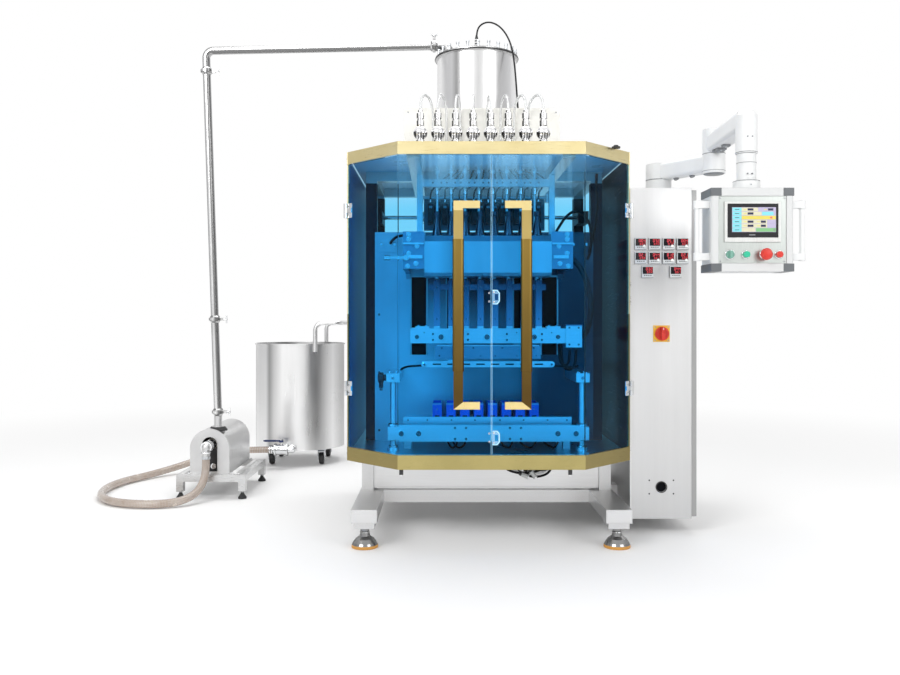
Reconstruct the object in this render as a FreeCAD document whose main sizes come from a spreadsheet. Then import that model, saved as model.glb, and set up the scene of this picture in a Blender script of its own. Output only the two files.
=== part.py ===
import FreeCAD, Part
import Sketcher
import math
import os

# Multi-lane vertical form fill seal machine for liquid sticks, with its feed pump and wheeled tank.
# Millimetres. X is to the right, Y goes away from the operator, Z is up, the floor is at zero.
# Places are given from the machine's middle plane and the front face of its doors; every node is
# then moved by the same step, so that the origin lies under the middle of the whole line.

SIZES = {
    # Guard outline, seen from above: a flat front and two slanted ends
    "guard_half_width": 575,
    "facet_half_width": 358,
    "facet_depth": 224,
    "machine_depth": 1150,
    "band_thickness": 4,
    "band_bottom": 305,
    "lower_band_height": 55,
    "upper_band_height": 49,
    "band_top": 1558,
    "guard_post_width": 9,
    "guard_post_depth": 18,
    # Doors
    "door_thickness": 8,
    "door_split": 3,
    "door_gap": 3,
    "door_end_gap": 7,
    "handle_middle": 128,
    "handle_bar_width": 36,
    "handle_bar_depth": 18,
    "handle_reach": 60,
    "handle_bottom": 541,
    "handle_top": 1323,
    "handle_arm_length": 99,
    "handle_arm_height": 28,
    "grip_width": 43,
    "grip_depth": 30,
    "grip_bottom": 683,
    "grip_length": 496,
    "hinge_low": 570,
    "hinge_high": 1290,
    "hinge_height": 58,
    "hinge_leaf_width": 34,
    "hinge_leaf_thickness": 3,
    "hinge_knuckle_radius": 7,
    "hinge_pin_radius": 4,
    "hinge_offset": 9,
    "catch_width": 30,
    "catch_height": 56,
    "catch_low": 400,
    "catch_high": 935,
    # Base and frame
    "foot_radius": 50,
    "foot_height": 78,
    "foot_stem_radius": 9,
    "foot_nut_radius": 17,
    "foot_inset": 45,
    "beam_place": 487,
    "beam_width": 100,
    "beam_bottom": 100,
    "beam_height": 52,
    "tube_side": 50,
    "leg_place": 505,
    "front_leg_place": 387,
    "cabinet_bracket_front": 500,
    "cabinet_bracket_back": 900,
    "middle_post_place": 600,
    "rail_place": 300,
    "rail_height": 40,
    "roof_thickness": 6,
    "deck_thickness": 6,
    "sheet": 3,
    "lower_panel_bottom": 160,
    "gland_x": 158,
    "gland_y": 540,
    "gland_radius": 9,
    "gland_height": 25,
    # Electrical cabinet
    "cabinet_gap": 5,
    "cabinet_width": 253,
    "cabinet_front": 245,
    "cabinet_depth": 790,
    "cabinet_bottom": 62,
    "cabinet_top": 1417,
    "cabinet_wall": 3,
    "cabinet_door_thickness": 19,
    "cabinet_door_gap": 0.8,
    "cabinet_bracket_depth": 60,
    "controller_side": 48,
    "controller_pitch": 57.5,
    "controller_row": 1187,
    "controller_column": 709,
    "controller_body": 44,
    "controller_depth": 75,
    "controller_bezel": 7,
    "switch_height": 820,
    "switch_plate_side": 67,
    "switch_knob_radius": 28,
    "switch_shaft_radius": 6,
    "inlet_height": 192,
    "inlet_radius": 19.5,
    "inlet_pitch_x": 99,
    "inlet_pitch_z": 55,
    "inlet_screw_radius": 2.75,
    # Operator panel on its swivel arm
    "arm_base_x": 728,
    "arm_base_y": 367,
    "arm_base_radius": 53,
    "arm_elbow_x": 890,
    "arm_elbow_y": 137,
    "arm_knuckle_radius": 44,
    "arm_beam_width": 72,
    "arm_section": 68,
    "arm_collar_height": 47,
    "arm_upper_height": 98,
    "arm_clearance": 1,
    "arm_pin_radius": 20,
    "arm_drop_x": 876,
    "arm_drop_y": -270,
    "arm_drop_radius": 37,
    "arm_drop_bottom": 1457,
    "arm_neck_radius": 33,
    "arm_flange_radius": 46,
    "arm_flange_height": 28,
    "arm_edge_radius": 14,
    "panel_width": 283,
    "panel_depth": 110,
    "panel_bottom": 1043,
    "panel_top": 1330,
    "panel_plate_width": 233,
    "panel_plate_height": 230,
    "panel_plate_thickness": 3,
    "panel_rim": 6,
    "panel_cap_width": 36,
    "panel_cap_height": 27,
    "bezel_width": 192,
    "bezel_height": 138,
    "bezel_bottom": 1144,
    "bezel_thickness": 6,
    "button_row": 1101,
    "selector_offset": -77,
    "green_offset": -22,
    "stop_offset": 40,
    "red_offset": 91,
    "button_radius": 11,
    "button_reach": 9,
    "button_stem_radius": 6,
    "button_travel": 4,
    "stop_radius": 20,
    "stop_height": 32,
    "panel_handle_reach": 182,
    "panel_handle_bottom": 1081,
    "panel_handle_top": 1289,
    "panel_handle_radius": 8,
    "panel_handle_collar": 12,
    "panel_handle_arm": 24,
    # Product hopper
    "hopper_x": -20,
    "hopper_y": 930,
    "hopper_radius": 192,
    "hopper_rim": 2145,
    "hopper_shoulder": 1790,
    "hopper_outlet": 1650,
    "hopper_outlet_radius": 30,
    "hopper_wall": 3,
    "hopper_leg_radius": 14,
    "hopper_leg_place": 160,
    "lid_height": 34,
    "lid_port_height": 29,
    "sensor_radius": 16,
    "sensor_height": 70,
    # Filling heads and their guard
    "lane_count": 8,
    "head_pitch": 70,
    "head_middle": -30,
    "head_y": 150,
    "head_ball_height": 1621,
    "head_ball_radius": 28,
    "head_cylinder_radius": 15,
    "head_base_radius": 17,
    "head_top": 1716,
    "tube_radius": 5,
    "tube_span": 140,
    "tube_lean": 14,
    "cover_left": -347,
    "cover_right": 302,
    "cover_front": 305,
    "cover_depth": 170,
    "cover_top": 1758,
    # Forming and sealing works
    "work_panel_half": 489,
    "work_panel_top": 1270,
    "slot_low": 719,
    "slot_high": 1068,
    "outer_slot_place": 293,
    "outer_slot_width": 65,
    "inner_slot_place": 150,
    "inner_slot_width": 30,
    "block_half_width": 261,
    "block_front": 250,
    "block_depth": 180,
    "block_bottom": 1056,
    "block_top": 1224,
    "shoulder_radius": 22,
    "shoulder_height": 76,
    "former_radius": 9,
    "former_length": 206,
    "bracket_reach": 350,
    "bracket_rise": 30,
    "bracket_height": 154,
    "guide_bar_half": 297,
    "guide_bar_bottom": 1450,
    "guide_bar_height": 32,
    "guide_upright_width": 25,
    "lane_pitch": 60,
    "rod_radius": 6,
    "seal_bar_half": 320,
    "seal_bar_front": 262,
    "seal_bar_depth": 50,
    "seal_bar_bottom": 780,
    "seal_bar_height": 61,
    "seal_column_width": 26,
    "seal_column_top": 1040,
    "slide_rod_radius": 11,
    "slide_clearance": 0.05,
    "slide_block_side": 58,
    "slide_block_depth": 70,
    "cross_plate_half": 218,
    "cross_plate_bottom": 716,
    "cross_plate_height": 57,
    "cutter_half": 275,
    "cutter_bottom": 681,
    "cutter_height": 25,
    "post_place": 390,
    "post_y": 290,
    "post_radius": 12,
    "post_head": 619,
    "post_head_height": 37,
    "carriage_bottom": 380,
    "carriage_height": 66,
    "carriage_front": 230,
    "carriage_depth": 32,
    "carriage_bush_radius": 22,
    "shelf_half": 350,
    "shelf_height": 440,
    "shelf_front": 300,
    "chute_width": 40,
    "chute_top": 515,
    "chute_front": 450,
    "chute_wall": 3,
    "lever_rise": 45,
    "lever_length": 74,
    # Film unwinding at the back
    "reel_y": 985,
    "reel_height": 640,
    "reel_radius": 150,
    "reel_half_width": 240,
    "reel_shaft_radius": 20,
    "bearing_side": 60,
    "bearing_clearance": 0.08,
    "roller_drop": 161,
    "roller_radius": 30,
    "roller_half_width": 300,
    "roller_shaft_radius": 10,
    # Feed pump and its stand
    "pump_x": -1331,
    "pump_front": 958,
    "pump_depth": 446,
    "pump_half_width": 97,
    "pump_arch_height": 242,
    "pump_slot_width": 74,
    "pump_slot_depth": 130,
    "pump_slot_arch": 262,
    "pump_inlet_height": 258,
    "pump_inlet_reach": 68,
    "pump_inlet_drop": 50,
    "stand_left": -1488,
    "stand_right": -1151,
    "stand_front": 931,
    "stand_back": 1425,
    "stand_tube": 34,
    "stand_top": 118,
    "stand_foot_radius": 20,
    "stand_foot_height": 36,
    # Feed pipe
    "pipe_radius": 19,
    "pipe_bottom": 400,
    "pipe_x_bottom": -1303,
    "pipe_x_top": -1363,
    "pipe_y": 1010,
    "pipe_run": 2214,
    "pipe_bend": 36,
    "pipe_end": -150,
    "clamp_radius": 30,
    "clamp_height": 16,
    "clamp_foot": 10,
    "clamp_middle": 471,
    "clamp_drop": 109,
    "clamp_side": 85,
    # Wheeled tank
    "tank_x": -1068,
    "tank_y": 2080,
    "tank_radius": 270,
    "tank_bottom": 100,
    "tank_top": 732,
    "tank_wall": 3,
    "tank_lip": 5,
    "tank_handle_radius": 13,
    "tank_handle_height": 857,
    "tank_handle_place": 128,
    "tank_handle_reach": 283,
    "tank_handle_foot": 684,
    "valve_height": 116,
    "valve_y": 1765,
    "valve_radius": 30,
    "lever_arm": 105,
    "valve_body_length": 62,
    "valve_ring": 10,
    "caster_place": 150,
    "caster_trail": 24,
    "wheel_radius": 37.5,
    "wheel_width": 28,
    "axle_radius": 5,
    "axle_clearance": 0.08,
    # Hose and cable
    "hose_radius": 19,
    "sensor_cable_radius": 4,
}

# Hand-chosen routes of the cords, before their corners are rounded
HOSE_ROUTE = [
    (-1184, 1765, 116),
    (-1320, 1765, 116),
    (-1462, 1742, 104),
    (-1592, 1680, 70),
    (-1706, 1588, 38),
    (-1800, 1468, 22),
    (-1866, 1326, 21),
    (-1896, 1172, 22),
    (-1886, 1018, 21),
    (-1836, 880, 22),
    (-1748, 776, 21),
    (-1632, 718, 22),
    (-1516, 712, 21),
    (-1420, 746, 24),
    (-1360, 804, 46),
    (-1336, 860, 92),
    (-1331, 890, 150),
    (-1331, 890, 208),
]
SENSOR_ROUTE = [
    (-20, 930, 2247),
    (-20, 930, 2284),
    (-2, 918, 2314),
    (38, 892, 2320),
    (84, 858, 2290),
    (120, 820, 2232),
    (142, 780, 2156),
    (150, 744, 2066),
    (154, 706, 1972),
    (156, 664, 1878),
    (158, 620, 1786),
    (158, 576, 1706),
    (158, 546, 1642),
    (158, 540, 1600),
    (158, 540, 1572),
]


class Size:
    """A length and the formula in the sheet's cells that it comes from."""

    def __init__(self, value, text):
        self.value = value
        self.text = text

    def joined(self, sign, other, value):
        return Size(value, "(%s %s %s)" % (self.text, sign, other.text))

    def __add__(self, other):
        other = as_size(other)
        return self.joined("+", other, self.value + other.value)

    def __sub__(self, other):
        other = as_size(other)
        return self.joined("-", other, self.value - other.value)

    def __mul__(self, other):
        other = as_size(other)
        return self.joined("*", other, self.value * other.value)

    def __truediv__(self, other):
        other = as_size(other)
        return self.joined("/", other, self.value / other.value)

    def __radd__(self, other):
        return as_size(other) + self

    def __rsub__(self, other):
        return as_size(other) - self

    def __rmul__(self, other):
        return as_size(other) * self

    def __neg__(self):
        return as_size(0) - self


def as_size(number):
    if isinstance(number, Size):
        return number
    return Size(float(number), "(%r)" % number if number < 0 else "%r" % number)


def root_of(size):
    return Size(math.sqrt(size.value), "sqrt(%s)" % size.text)


def slope(rise, run):
    """The angle in degrees of a slope."""
    angle = math.degrees(math.atan2(rise.value, run.value))
    return Size(angle, "atan2(%s; %s)" % (rise.text, run.text))


def tangent(angle):
    return Size(math.tan(math.radians(angle.value)), "tan(%s)" % angle.text)


class Cells:
    """The driving dimensions, each under its own name."""


doc = FreeCAD.newDocument("StickPackLine")
sheet = doc.addObject("Spreadsheet::Sheet", "Sizes")
s = Cells()
for row, (alias, number) in enumerate(SIZES.items(), start=1):
    cell = "A%d" % row
    sheet.set(cell, "%r" % number)
    sheet.setAlias(cell, alias)
    setattr(s, alias, Size(float(number), "Sizes.%s" % alias))
doc.recompute()

PLACES = {}
NODES = []


def bind(thing, prop, size):
    thing.setExpression(prop, as_size(size).text)


def place(thing, x, y, z):
    """Put a piece at a point of the machine's own coordinates."""
    PLACES[thing.Name] = (x, y, z)
    bind(thing, "Placement.Base.x", x)
    bind(thing, "Placement.Base.y", y)
    bind(thing, "Placement.Base.z", z)
    return thing


def turned(thing, axis, angle):
    thing.Placement = FreeCAD.Placement(FreeCAD.Vector(), FreeCAD.Rotation(FreeCAD.Vector(*axis), angle))


def box(x, y, z, width, depth, height):
    """A block from its lowest corner."""
    thing = doc.addObject("Part::Box", "Block")
    bind(thing, "Length", width)
    bind(thing, "Width", depth)
    bind(thing, "Height", height)
    return place(thing, x, y, z)


def plate(x, y, z, width, depth, height):
    """A block about the middle of x, from its front and its bottom."""
    return box(as_size(x) - as_size(width) / 2, y, z, width, depth, height)


def rod(x, y, z, radius, length, axis="Z"):
    """A round bar that starts at a point and runs along +X, +Y or +Z."""
    thing = doc.addObject("Part::Cylinder", "Bar")
    bind(thing, "Radius", radius)
    bind(thing, "Height", length)
    if axis == "X":
        turned(thing, (0, 1, 0), 90)
    if axis == "Y":
        turned(thing, (1, 0, 0), -90)
    return place(thing, x, y, z)


def ball(x, y, z, radius):
    thing = doc.addObject("Part::Sphere", "Ball")
    bind(thing, "Radius", radius)
    return place(thing, x, y, z)


def fused(*things):
    thing = doc.addObject("Part::MultiFuse", "Joined")
    thing.Shapes = list(things)
    thing.Refine = True
    return thing


def cut(base, *tools):
    thing = doc.addObject("Part::Cut", "Carved")
    thing.Base = base
    thing.Tool = tools[0] if len(tools) == 1 else fused(*tools)
    return thing


def common(first, second):
    thing = doc.addObject("Part::Common", "Shared")
    thing.Base = first
    thing.Tool = second
    return thing


line_left = s.stand_left + s.stand_tube / 2 - s.stand_foot_radius
line_right = s.arm_drop_x + s.panel_handle_reach + s.panel_handle_collar
origin_x = (line_left + line_right) / 2
panel_front = s.arm_drop_y - s.panel_depth / 2
panel_face = panel_front - s.panel_plate_thickness
button_gap = s.button_travel + 0.4
line_front = panel_face - button_gap - s.stop_height
line_back = s.tank_y + s.tank_radius + s.tank_lip
origin_y = (line_front + line_back) / 2


def node(label, *things):
    """Name a sub-part and move it to the origin under the middle of the line."""
    if len(things) == 1:
        part = things[0]
        x, y, z = PLACES.get(part.Name, (as_size(0), as_size(0), as_size(0)))
    else:
        part = doc.addObject("Part::Compound", "Group")
        part.Links = list(things)
        x, y, z = as_size(0), as_size(0), as_size(0)
    part.Label = label
    place(part, as_size(x) - origin_x, as_size(y) - origin_y, z)
    NODES.append(part)
    return part


def new_body(name="Piece"):
    return doc.addObject("PartDesign::Body", name)


def sketch(body, role, offset=0):
    """An empty sketch on one of the body's own planes, moved along the plane's normal."""
    drawing = body.newObject("Sketcher::SketchObject", "Outline")
    planes = [feature for feature in body.Origin.OriginFeatures if feature.Role == role]
    drawing.AttachmentSupport = [(planes[0], "")]
    drawing.MapMode = "FlatFace"
    bind(drawing, "AttachmentOffset.Base.z", offset)
    return drawing


def pin_point(drawing, index, position, point):
    """Hold one end of a sketch line at two dimensions from the sketch's origin."""
    for kind, size in zip(("DistanceX", "DistanceY"), point):
        size = as_size(size)
        number = drawing.addConstraint(Sketcher.Constraint(kind, -1, 1, index, position, size.value))
        drawing.setExpression("Constraints[%d]" % number, size.text)


def polygon(drawing, points):
    """Add a closed outline of straight lines, each corner dimensioned."""
    first = drawing.GeometryCount
    corners = [FreeCAD.Vector(as_size(x).value, as_size(y).value, 0) for x, y in points]
    count = len(corners)
    for index in range(count):
        line = Part.LineSegment(corners[index], corners[(index + 1) % count])
        drawing.addGeometry(line, False)
    for index in range(count):
        following = first + (index + 1) % count
        drawing.addConstraint(Sketcher.Constraint("Coincident", first + index, 2, following, 1))
    for index in range(count):
        pin_point(drawing, first + index, 1, points[index])


def pad(body, drawing, length, upside_down=False):
    feature = body.newObject("PartDesign::Pad", "Pad")
    feature.Profile = drawing
    feature.Reversed = upside_down
    bind(feature, "Length", length)
    return feature


def pocket(body, drawing, length, upside_down=False):
    feature = body.newObject("PartDesign::Pocket", "Pocket")
    feature.Profile = drawing
    feature.Reversed = upside_down
    bind(feature, "Length", length)
    return feature


def extruded(points, bottom, height):
    """A body with a straight outline seen from above."""
    body = new_body()
    drawing = sketch(body, "XY_Plane")
    polygon(drawing, points)
    pad(body, drawing, height)
    return place(body, 0, 0, bottom)


def revolved(x, y, z, outline):
    """A body turned about a vertical axis from radius and height pairs."""
    body = new_body()
    drawing = sketch(body, "XZ_Plane")
    polygon(drawing, outline)
    feature = body.newObject("PartDesign::Revolution", "Turn")
    feature.Profile = drawing
    feature.ReferenceAxis = (drawing, ["V_Axis"])
    feature.Angle = 360
    return place(body, x, y, z)


def lying(thing):
    """Turn an upright piece so that its axis points at the operator."""
    turned(thing, (1, 0, 0), 90)
    return thing


def sideways(thing):
    """Turn an upright piece so that its axis points to the right."""
    turned(thing, (0, 1, 0), 90)
    return thing


def side_plate(x, y, z, thickness, outline):
    """A plate that stands across x, from an outline seen from the side."""
    body = new_body()
    drawing = sketch(body, "YZ_Plane")
    polygon(drawing, outline)
    pad(body, drawing, thickness)
    return place(body, x, y, z)


def hexagon(radius):
    """The corners of a regular hexagon."""
    steps = [math.radians(60 * number) for number in range(6)]
    return [(radius * math.cos(step), radius * math.sin(step)) for step in steps]


def round_edges(body, radius, chooser):
    """Round those edges of the body's last feature that the chooser picks."""
    doc.recompute()
    tip = body.Tip
    names = []
    for number, edge in enumerate(tip.Shape.Edges, start=1):
        if chooser(edge):
            names.append("Edge%d" % number)
    feature = body.newObject("PartDesign::Fillet", "Rounding")
    feature.Base = (tip, names)
    bind(feature, "Radius", radius)
    return feature


def is_upright(edge):
    box_of = edge.BoundBox
    return box_of.XLength < 0.001 and box_of.YLength < 0.001


def is_long(edge):
    return edge.Length > 100


def mirrored_points(points, side):
    return [(side * x, y) for x, y in points]


def tube_path(points, bend=None):
    """Straight runs joined by tangent arcs. Without a bend each arc is as large as its runs allow."""
    corners = [FreeCAD.Vector(*point) for point in points]
    edges = []
    radii = []
    start = corners[0]
    for before, corner, after in zip(corners, corners[1:], corners[2:]):
        incoming = corner - before
        outgoing = after - corner
        turn = incoming.getAngle(outgoing)
        back = 0.45 * min(incoming.Length, outgoing.Length)
        if bend is not None:
            back = bend * math.tan(turn / 2)
        radius = back / math.tan(turn / 2)
        incoming.normalize()
        outgoing.normalize()
        arc_start = corner - incoming * back
        arc_end = corner + outgoing * back
        towards = outgoing - incoming
        towards.normalize()
        middle = corner + towards * (radius / math.cos(turn / 2) - radius)
        edges.append(Part.LineSegment(start, arc_start).toShape())
        edges.append(Part.Arc(arc_start, middle, arc_end).toShape())
        radii.append(radius)
        start = arc_end
    edges.append(Part.LineSegment(start, corners[-1]).toShape())
    return Part.Wire(edges), radii


def tube(points, radius, bend=None):
    """A solid round tube along a route."""
    path, radii = tube_path(points, bend)
    start = FreeCAD.Vector(*points[0])
    direction = FreeCAD.Vector(*points[1]) - start
    ring = Part.Wire(Part.Circle(start, direction, radius).toShape())
    solid = path.makePipeShell([ring], True, False)
    drift = solid.Volume / (math.pi * radius ** 2 * path.Length) - 1
    if abs(drift) > 0.01:
        raise ValueError("a tube's volume is off by %.3f" % drift)
    return solid, radii


def tube_part(name, points, radius, bend=None):
    thing = doc.addObject("Part::Feature", name)
    numbers = [[as_size(value).value for value in point] for point in points]
    bend = None if bend is None else as_size(bend).value
    thing.Shape, radii = tube(numbers, as_size(radius).value, bend)
    if bend is None:
        print(name, "bend radii", ["%.0f" % value for value in radii])
    PLACES[thing.Name] = (as_size(0), as_size(0), as_size(0))
    return thing


# Guard outline in plan, worked out once for bands, doors, deck and roof
facet_width = s.guard_half_width - s.facet_half_width
facet_length = root_of(facet_width * facet_width + s.facet_depth * s.facet_depth)
facet_angle = slope(s.facet_depth, facet_width)
bend_share = tangent(facet_angle / 2)
along_x = facet_width / facet_length
along_y = s.facet_depth / facet_length
band_inner = s.band_thickness * bend_share


def facet_point(back, inside):
    """A point of the right slanted facet: back from its outer end, and in from its outer face."""
    x = s.guard_half_width - back * along_x - inside * along_y
    y = s.facet_depth - back * along_y + inside * along_x
    return x, y


def inset_outline(inside, rear):
    """The guard outline from above, inside its bands and its posts."""
    side_x = s.guard_half_width - s.guard_post_width - 0.5
    back = (s.guard_half_width - inside * along_y - side_x) / along_x
    end_x, end_y = facet_point(back, inside)
    bend_x = s.facet_half_width - inside * bend_share
    right = [(bend_x, inside), (end_x, end_y), (end_x, rear)]
    left = [(-x, y) for x, y in reversed(right)]
    return right + left


def build_guard_frame():
    end_x, end_y = facet_point(0, s.band_thickness)
    outer = [(s.facet_half_width, 0), (s.guard_half_width, s.facet_depth)]
    inner = [(end_x, end_y), (s.facet_half_width - band_inner, s.band_thickness)]
    right = outer + inner
    outline = right + [(-x, y) for x, y in reversed(right)]
    lower = extruded(outline, s.band_bottom, s.lower_band_height)
    upper = extruded(outline, s.band_top - s.upper_band_height, s.upper_band_height)
    pieces = [lower, upper]
    for side in (-1, 1):
        middle = side * (s.guard_half_width - s.guard_post_width / 2)
        start = s.facet_depth + 4
        height = s.band_top - s.band_bottom
        pieces.append(plate(middle, start, s.band_bottom, s.guard_post_width, s.guard_post_depth, height))
        corner = side * (s.guard_half_width - 3)
        for z, tall in ((s.band_bottom, s.lower_band_height),
                        (s.band_top - s.upper_band_height, s.upper_band_height)):
            pieces.append(plate(corner, s.facet_depth - 3, z, 6, 9, tall))
    node("guard_frame", fused(*pieces))


door_bottom = s.band_bottom + s.lower_band_height + s.door_gap
door_top = s.band_top - s.upper_band_height - s.door_gap
door_height = door_top - door_bottom
hinge_x = s.guard_half_width + s.hinge_offset * along_y
hinge_y = s.facet_depth - s.hinge_offset * along_x


def door_outline():
    outer_end = facet_point(s.door_end_gap, 0)
    inner_end = facet_point(s.door_end_gap, s.door_thickness)
    split = s.door_split / 2
    inner_bend = s.facet_half_width - s.door_thickness * bend_share
    return [(split, 0), (s.facet_half_width, 0), outer_end, inner_end,
            (inner_bend, s.door_thickness), (split, s.door_thickness)]


def catch_body():
    """A door catch with a D-shaped outline and an eye."""
    wide = s.catch_width
    tall = s.catch_height
    body = new_body("Catch")
    drawing = sketch(body, "XZ_Plane")
    polygon(drawing, [(0, 0), (wide - 10, 0), (wide, 12), (wide, tall - 12), (wide - 10, tall), (0, tall)])
    polygon(drawing, [(10, 16), (wide - 7, 16), (wide - 7, tall - 16), (10, tall - 16)])
    pad(body, drawing, 10)
    return body


def build_doors():
    for side, name in ((-1, "left"), (1, "right")):
        panel = extruded(mirrored_points(door_outline(), side), door_bottom, door_height)
        pieces = [panel]
        if side > 0:
            for height in (s.catch_low, s.catch_high):
                pieces.append(place(catch_body(), s.door_split / 2, 0, height))
        node("door_%s_panel" % name, *pieces)
        build_handle(side, name)
        build_door_hinge(side, name)


def build_handle(side, name):
    back = -s.handle_reach + s.handle_bar_depth
    bar_middle = side * s.handle_middle
    tall = s.handle_top - s.handle_bottom
    pieces = [plate(bar_middle, -s.handle_reach, s.handle_bottom, s.handle_bar_width,
                    s.handle_bar_depth, tall)]
    inner_edge = s.handle_middle + s.handle_bar_width / 2 - s.handle_arm_length
    arm_middle = side * (s.handle_middle + s.handle_bar_width / 2 - s.handle_arm_length / 2)
    for z in (s.handle_bottom, s.handle_top - s.handle_arm_height):
        pieces.append(plate(arm_middle, -s.handle_reach, z, s.handle_arm_length,
                            s.handle_bar_depth, s.handle_arm_height))
        for x in (side * (inner_edge + 14), bar_middle):
            pieces.append(rod(x, back - 1, z + s.handle_arm_height / 2, 9, -back + 1, "Y"))
    body = new_body("Grip")
    drawing = sketch(body, "XY_Plane")
    half = s.grip_width / 2
    deep = s.grip_depth / 2
    polygon(drawing, [(-half, -deep), (half, -deep), (half, deep), (-half, deep)])
    pad(body, drawing, s.grip_length)
    round_edges(body, 12, is_upright)
    place(body, bar_middle, -s.handle_reach + s.handle_bar_depth / 2, s.grip_bottom)
    node("door_%s_handle" % name, fused(*(pieces + [body])))


def leaf_outline(side, thickness):
    """A hinge leaf that lies on the slanted door, from the pin towards the bend."""
    near = facet_point(6, 0)
    far = facet_point(s.hinge_leaf_width, 0)
    far_out = facet_point(s.hinge_leaf_width, -thickness)
    near_out = facet_point(6, -thickness)
    return mirrored_points([near, far, far_out, near_out], side)


def build_door_hinge(side, name):
    third = s.hinge_height / 3
    leaves = []
    for z in (s.hinge_low, s.hinge_high):
        leaf = extruded(leaf_outline(side, s.hinge_leaf_thickness + 5), z + third + 0.5, third - 1)
        wide = extruded(leaf_outline(side, s.hinge_leaf_thickness), z, s.hinge_height)
        keep = box(side * hinge_x - 60, hinge_y - 60, z, 120, 120, s.hinge_height)
        leaf_part = common(fused(leaf, wide), keep)
        knuckle = rod(side * hinge_x, hinge_y, z + third + 0.5, s.hinge_knuckle_radius, third - 1)
        room_low = rod(side * hinge_x, hinge_y, z - 1, s.hinge_knuckle_radius + 1, third + 1.5)
        room_high = rod(side * hinge_x, hinge_y, z + third * 2 - 0.5, s.hinge_knuckle_radius + 1, third + 2)
        bore = rod(side * hinge_x, hinge_y, z - 1, s.hinge_pin_radius + 0.05, s.hinge_height + 2)
        leaves.append(cut(fused(leaf_part, knuckle), room_low, room_high, bore))
    node("door_%s_hinges" % name, *leaves)


def build_hinge_leaves():
    pieces = []
    third = s.hinge_height / 3
    for side in (-1, 1):
        for z in (s.hinge_low, s.hinge_high):
            leaf_x = side * (s.guard_half_width + s.hinge_leaf_thickness / 2)
            leaf = plate(leaf_x, hinge_y, z, s.hinge_leaf_thickness, 44, s.hinge_height)
            low = rod(side * hinge_x, hinge_y, z, s.hinge_knuckle_radius, third)
            high = rod(side * hinge_x, hinge_y, z + third * 2, s.hinge_knuckle_radius, third)
            pin = rod(side * hinge_x, hinge_y, z, s.hinge_pin_radius, s.hinge_height)
            room = rod(side * hinge_x, hinge_y, z + third, s.hinge_knuckle_radius + 0.6, third)
            pieces.append(fused(cut(fused(leaf, low, high), room), pin))
    node("hinge_leaves", *pieces)


deck_top = s.band_bottom + s.lower_band_height - 25
deck_bottom = deck_top - s.deck_thickness
roof_bottom = s.band_top - s.roof_thickness - 11
roof_top = roof_bottom + s.roof_thickness
roller_height = roof_bottom - s.roller_drop


def build_machine_frame():
    pieces = []
    side_tube = s.tube_side
    beam_top = s.beam_bottom + s.beam_height
    rear_post = s.machine_depth - side_tube
    for side in (-1, 1):
        pieces.append(plate(side * s.beam_place, 0, s.beam_bottom, s.beam_width, s.machine_depth,
                            s.beam_height))
        for y in (s.foot_inset - 40, s.machine_depth - s.foot_inset - 40):
            pieces.append(plate(side * s.beam_place, y, s.foot_height, 80, 80,
                                s.beam_bottom - s.foot_height))
        leg_x = side * s.leg_place
        pieces.append(plate(leg_x, s.front_leg_place, beam_top, side_tube, side_tube,
                            deck_bottom - beam_top))
        for y in (s.middle_post_place, rear_post):
            pieces.append(plate(leg_x, y, beam_top, side_tube, side_tube, roof_bottom - beam_top))
        rail_z = roof_bottom - s.rail_height
        pieces.append(plate(side * s.rail_place, 30, rail_z, side_tube,
                            s.machine_depth - 30, s.rail_height))
        pieces.append(plate(leg_x, s.middle_post_place, rail_z, side_tube,
                            s.machine_depth - s.middle_post_place, s.rail_height))
        pieces.append(plate(leg_x, s.front_leg_place, deck_bottom - s.rail_height, side_tube,
                            s.machine_depth - s.front_leg_place, s.rail_height))
    span = s.leg_place * 2
    for y in (s.front_leg_place, rear_post):
        pieces.append(plate(0, y, s.beam_bottom, s.beam_place * 2, side_tube, s.beam_height))
        pieces.append(plate(0, y, deck_bottom - s.rail_height, span, side_tube, s.rail_height))
    for y in (s.middle_post_place, rear_post):
        pieces.append(plate(0, y, roof_bottom - s.rail_height, span, side_tube, s.rail_height))
    beam_side = s.beam_place + s.beam_width / 2
    reach = s.guard_half_width + s.cabinet_gap - beam_side
    for y in (s.cabinet_bracket_front, s.cabinet_bracket_back):
        pieces.append(box(beam_side, y, s.beam_bottom, reach, s.cabinet_bracket_depth, s.beam_height))
    bearing = []
    holes = []
    for side in (-1, 1):
        for y, z, radius in ((s.reel_y, s.reel_height, s.reel_shaft_radius),
                             (s.reel_y, roller_height, s.roller_shaft_radius)):
            depth = rear_post - y + s.bearing_side / 2
            bearing.append(plate(side * s.leg_place, y - s.bearing_side / 2, z - s.bearing_side / 2,
                                 side_tube, depth, s.bearing_side))
            holes.append(rod(side * s.leg_place - 30, y, z, radius + s.bearing_clearance, 60, "X"))
    node("machine_frame", cut(fused(*(pieces + bearing)), *holes))


def build_feet():
    radius = s.foot_radius
    stem = s.foot_stem_radius
    outline = [(0, 0), (radius, 0), (radius, 12), (radius - 4, 20), (radius * 0.72, 34),
               (radius * 0.42, 44), (radius * 0.36, 56), (stem, 60), (stem, s.foot_height),
               (0, s.foot_height)]
    feet = []
    for side in (-1, 1):
        for y in (s.foot_inset, s.machine_depth - s.foot_inset):
            foot = revolved(side * s.beam_place, y, 0, outline)
            nut = extruded(hexagon(s.foot_nut_radius), 62, 11)
            feet.append(fused(foot, place(nut, side * s.beam_place, y, 62)))
    node("levelling_feet", *feet)


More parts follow.
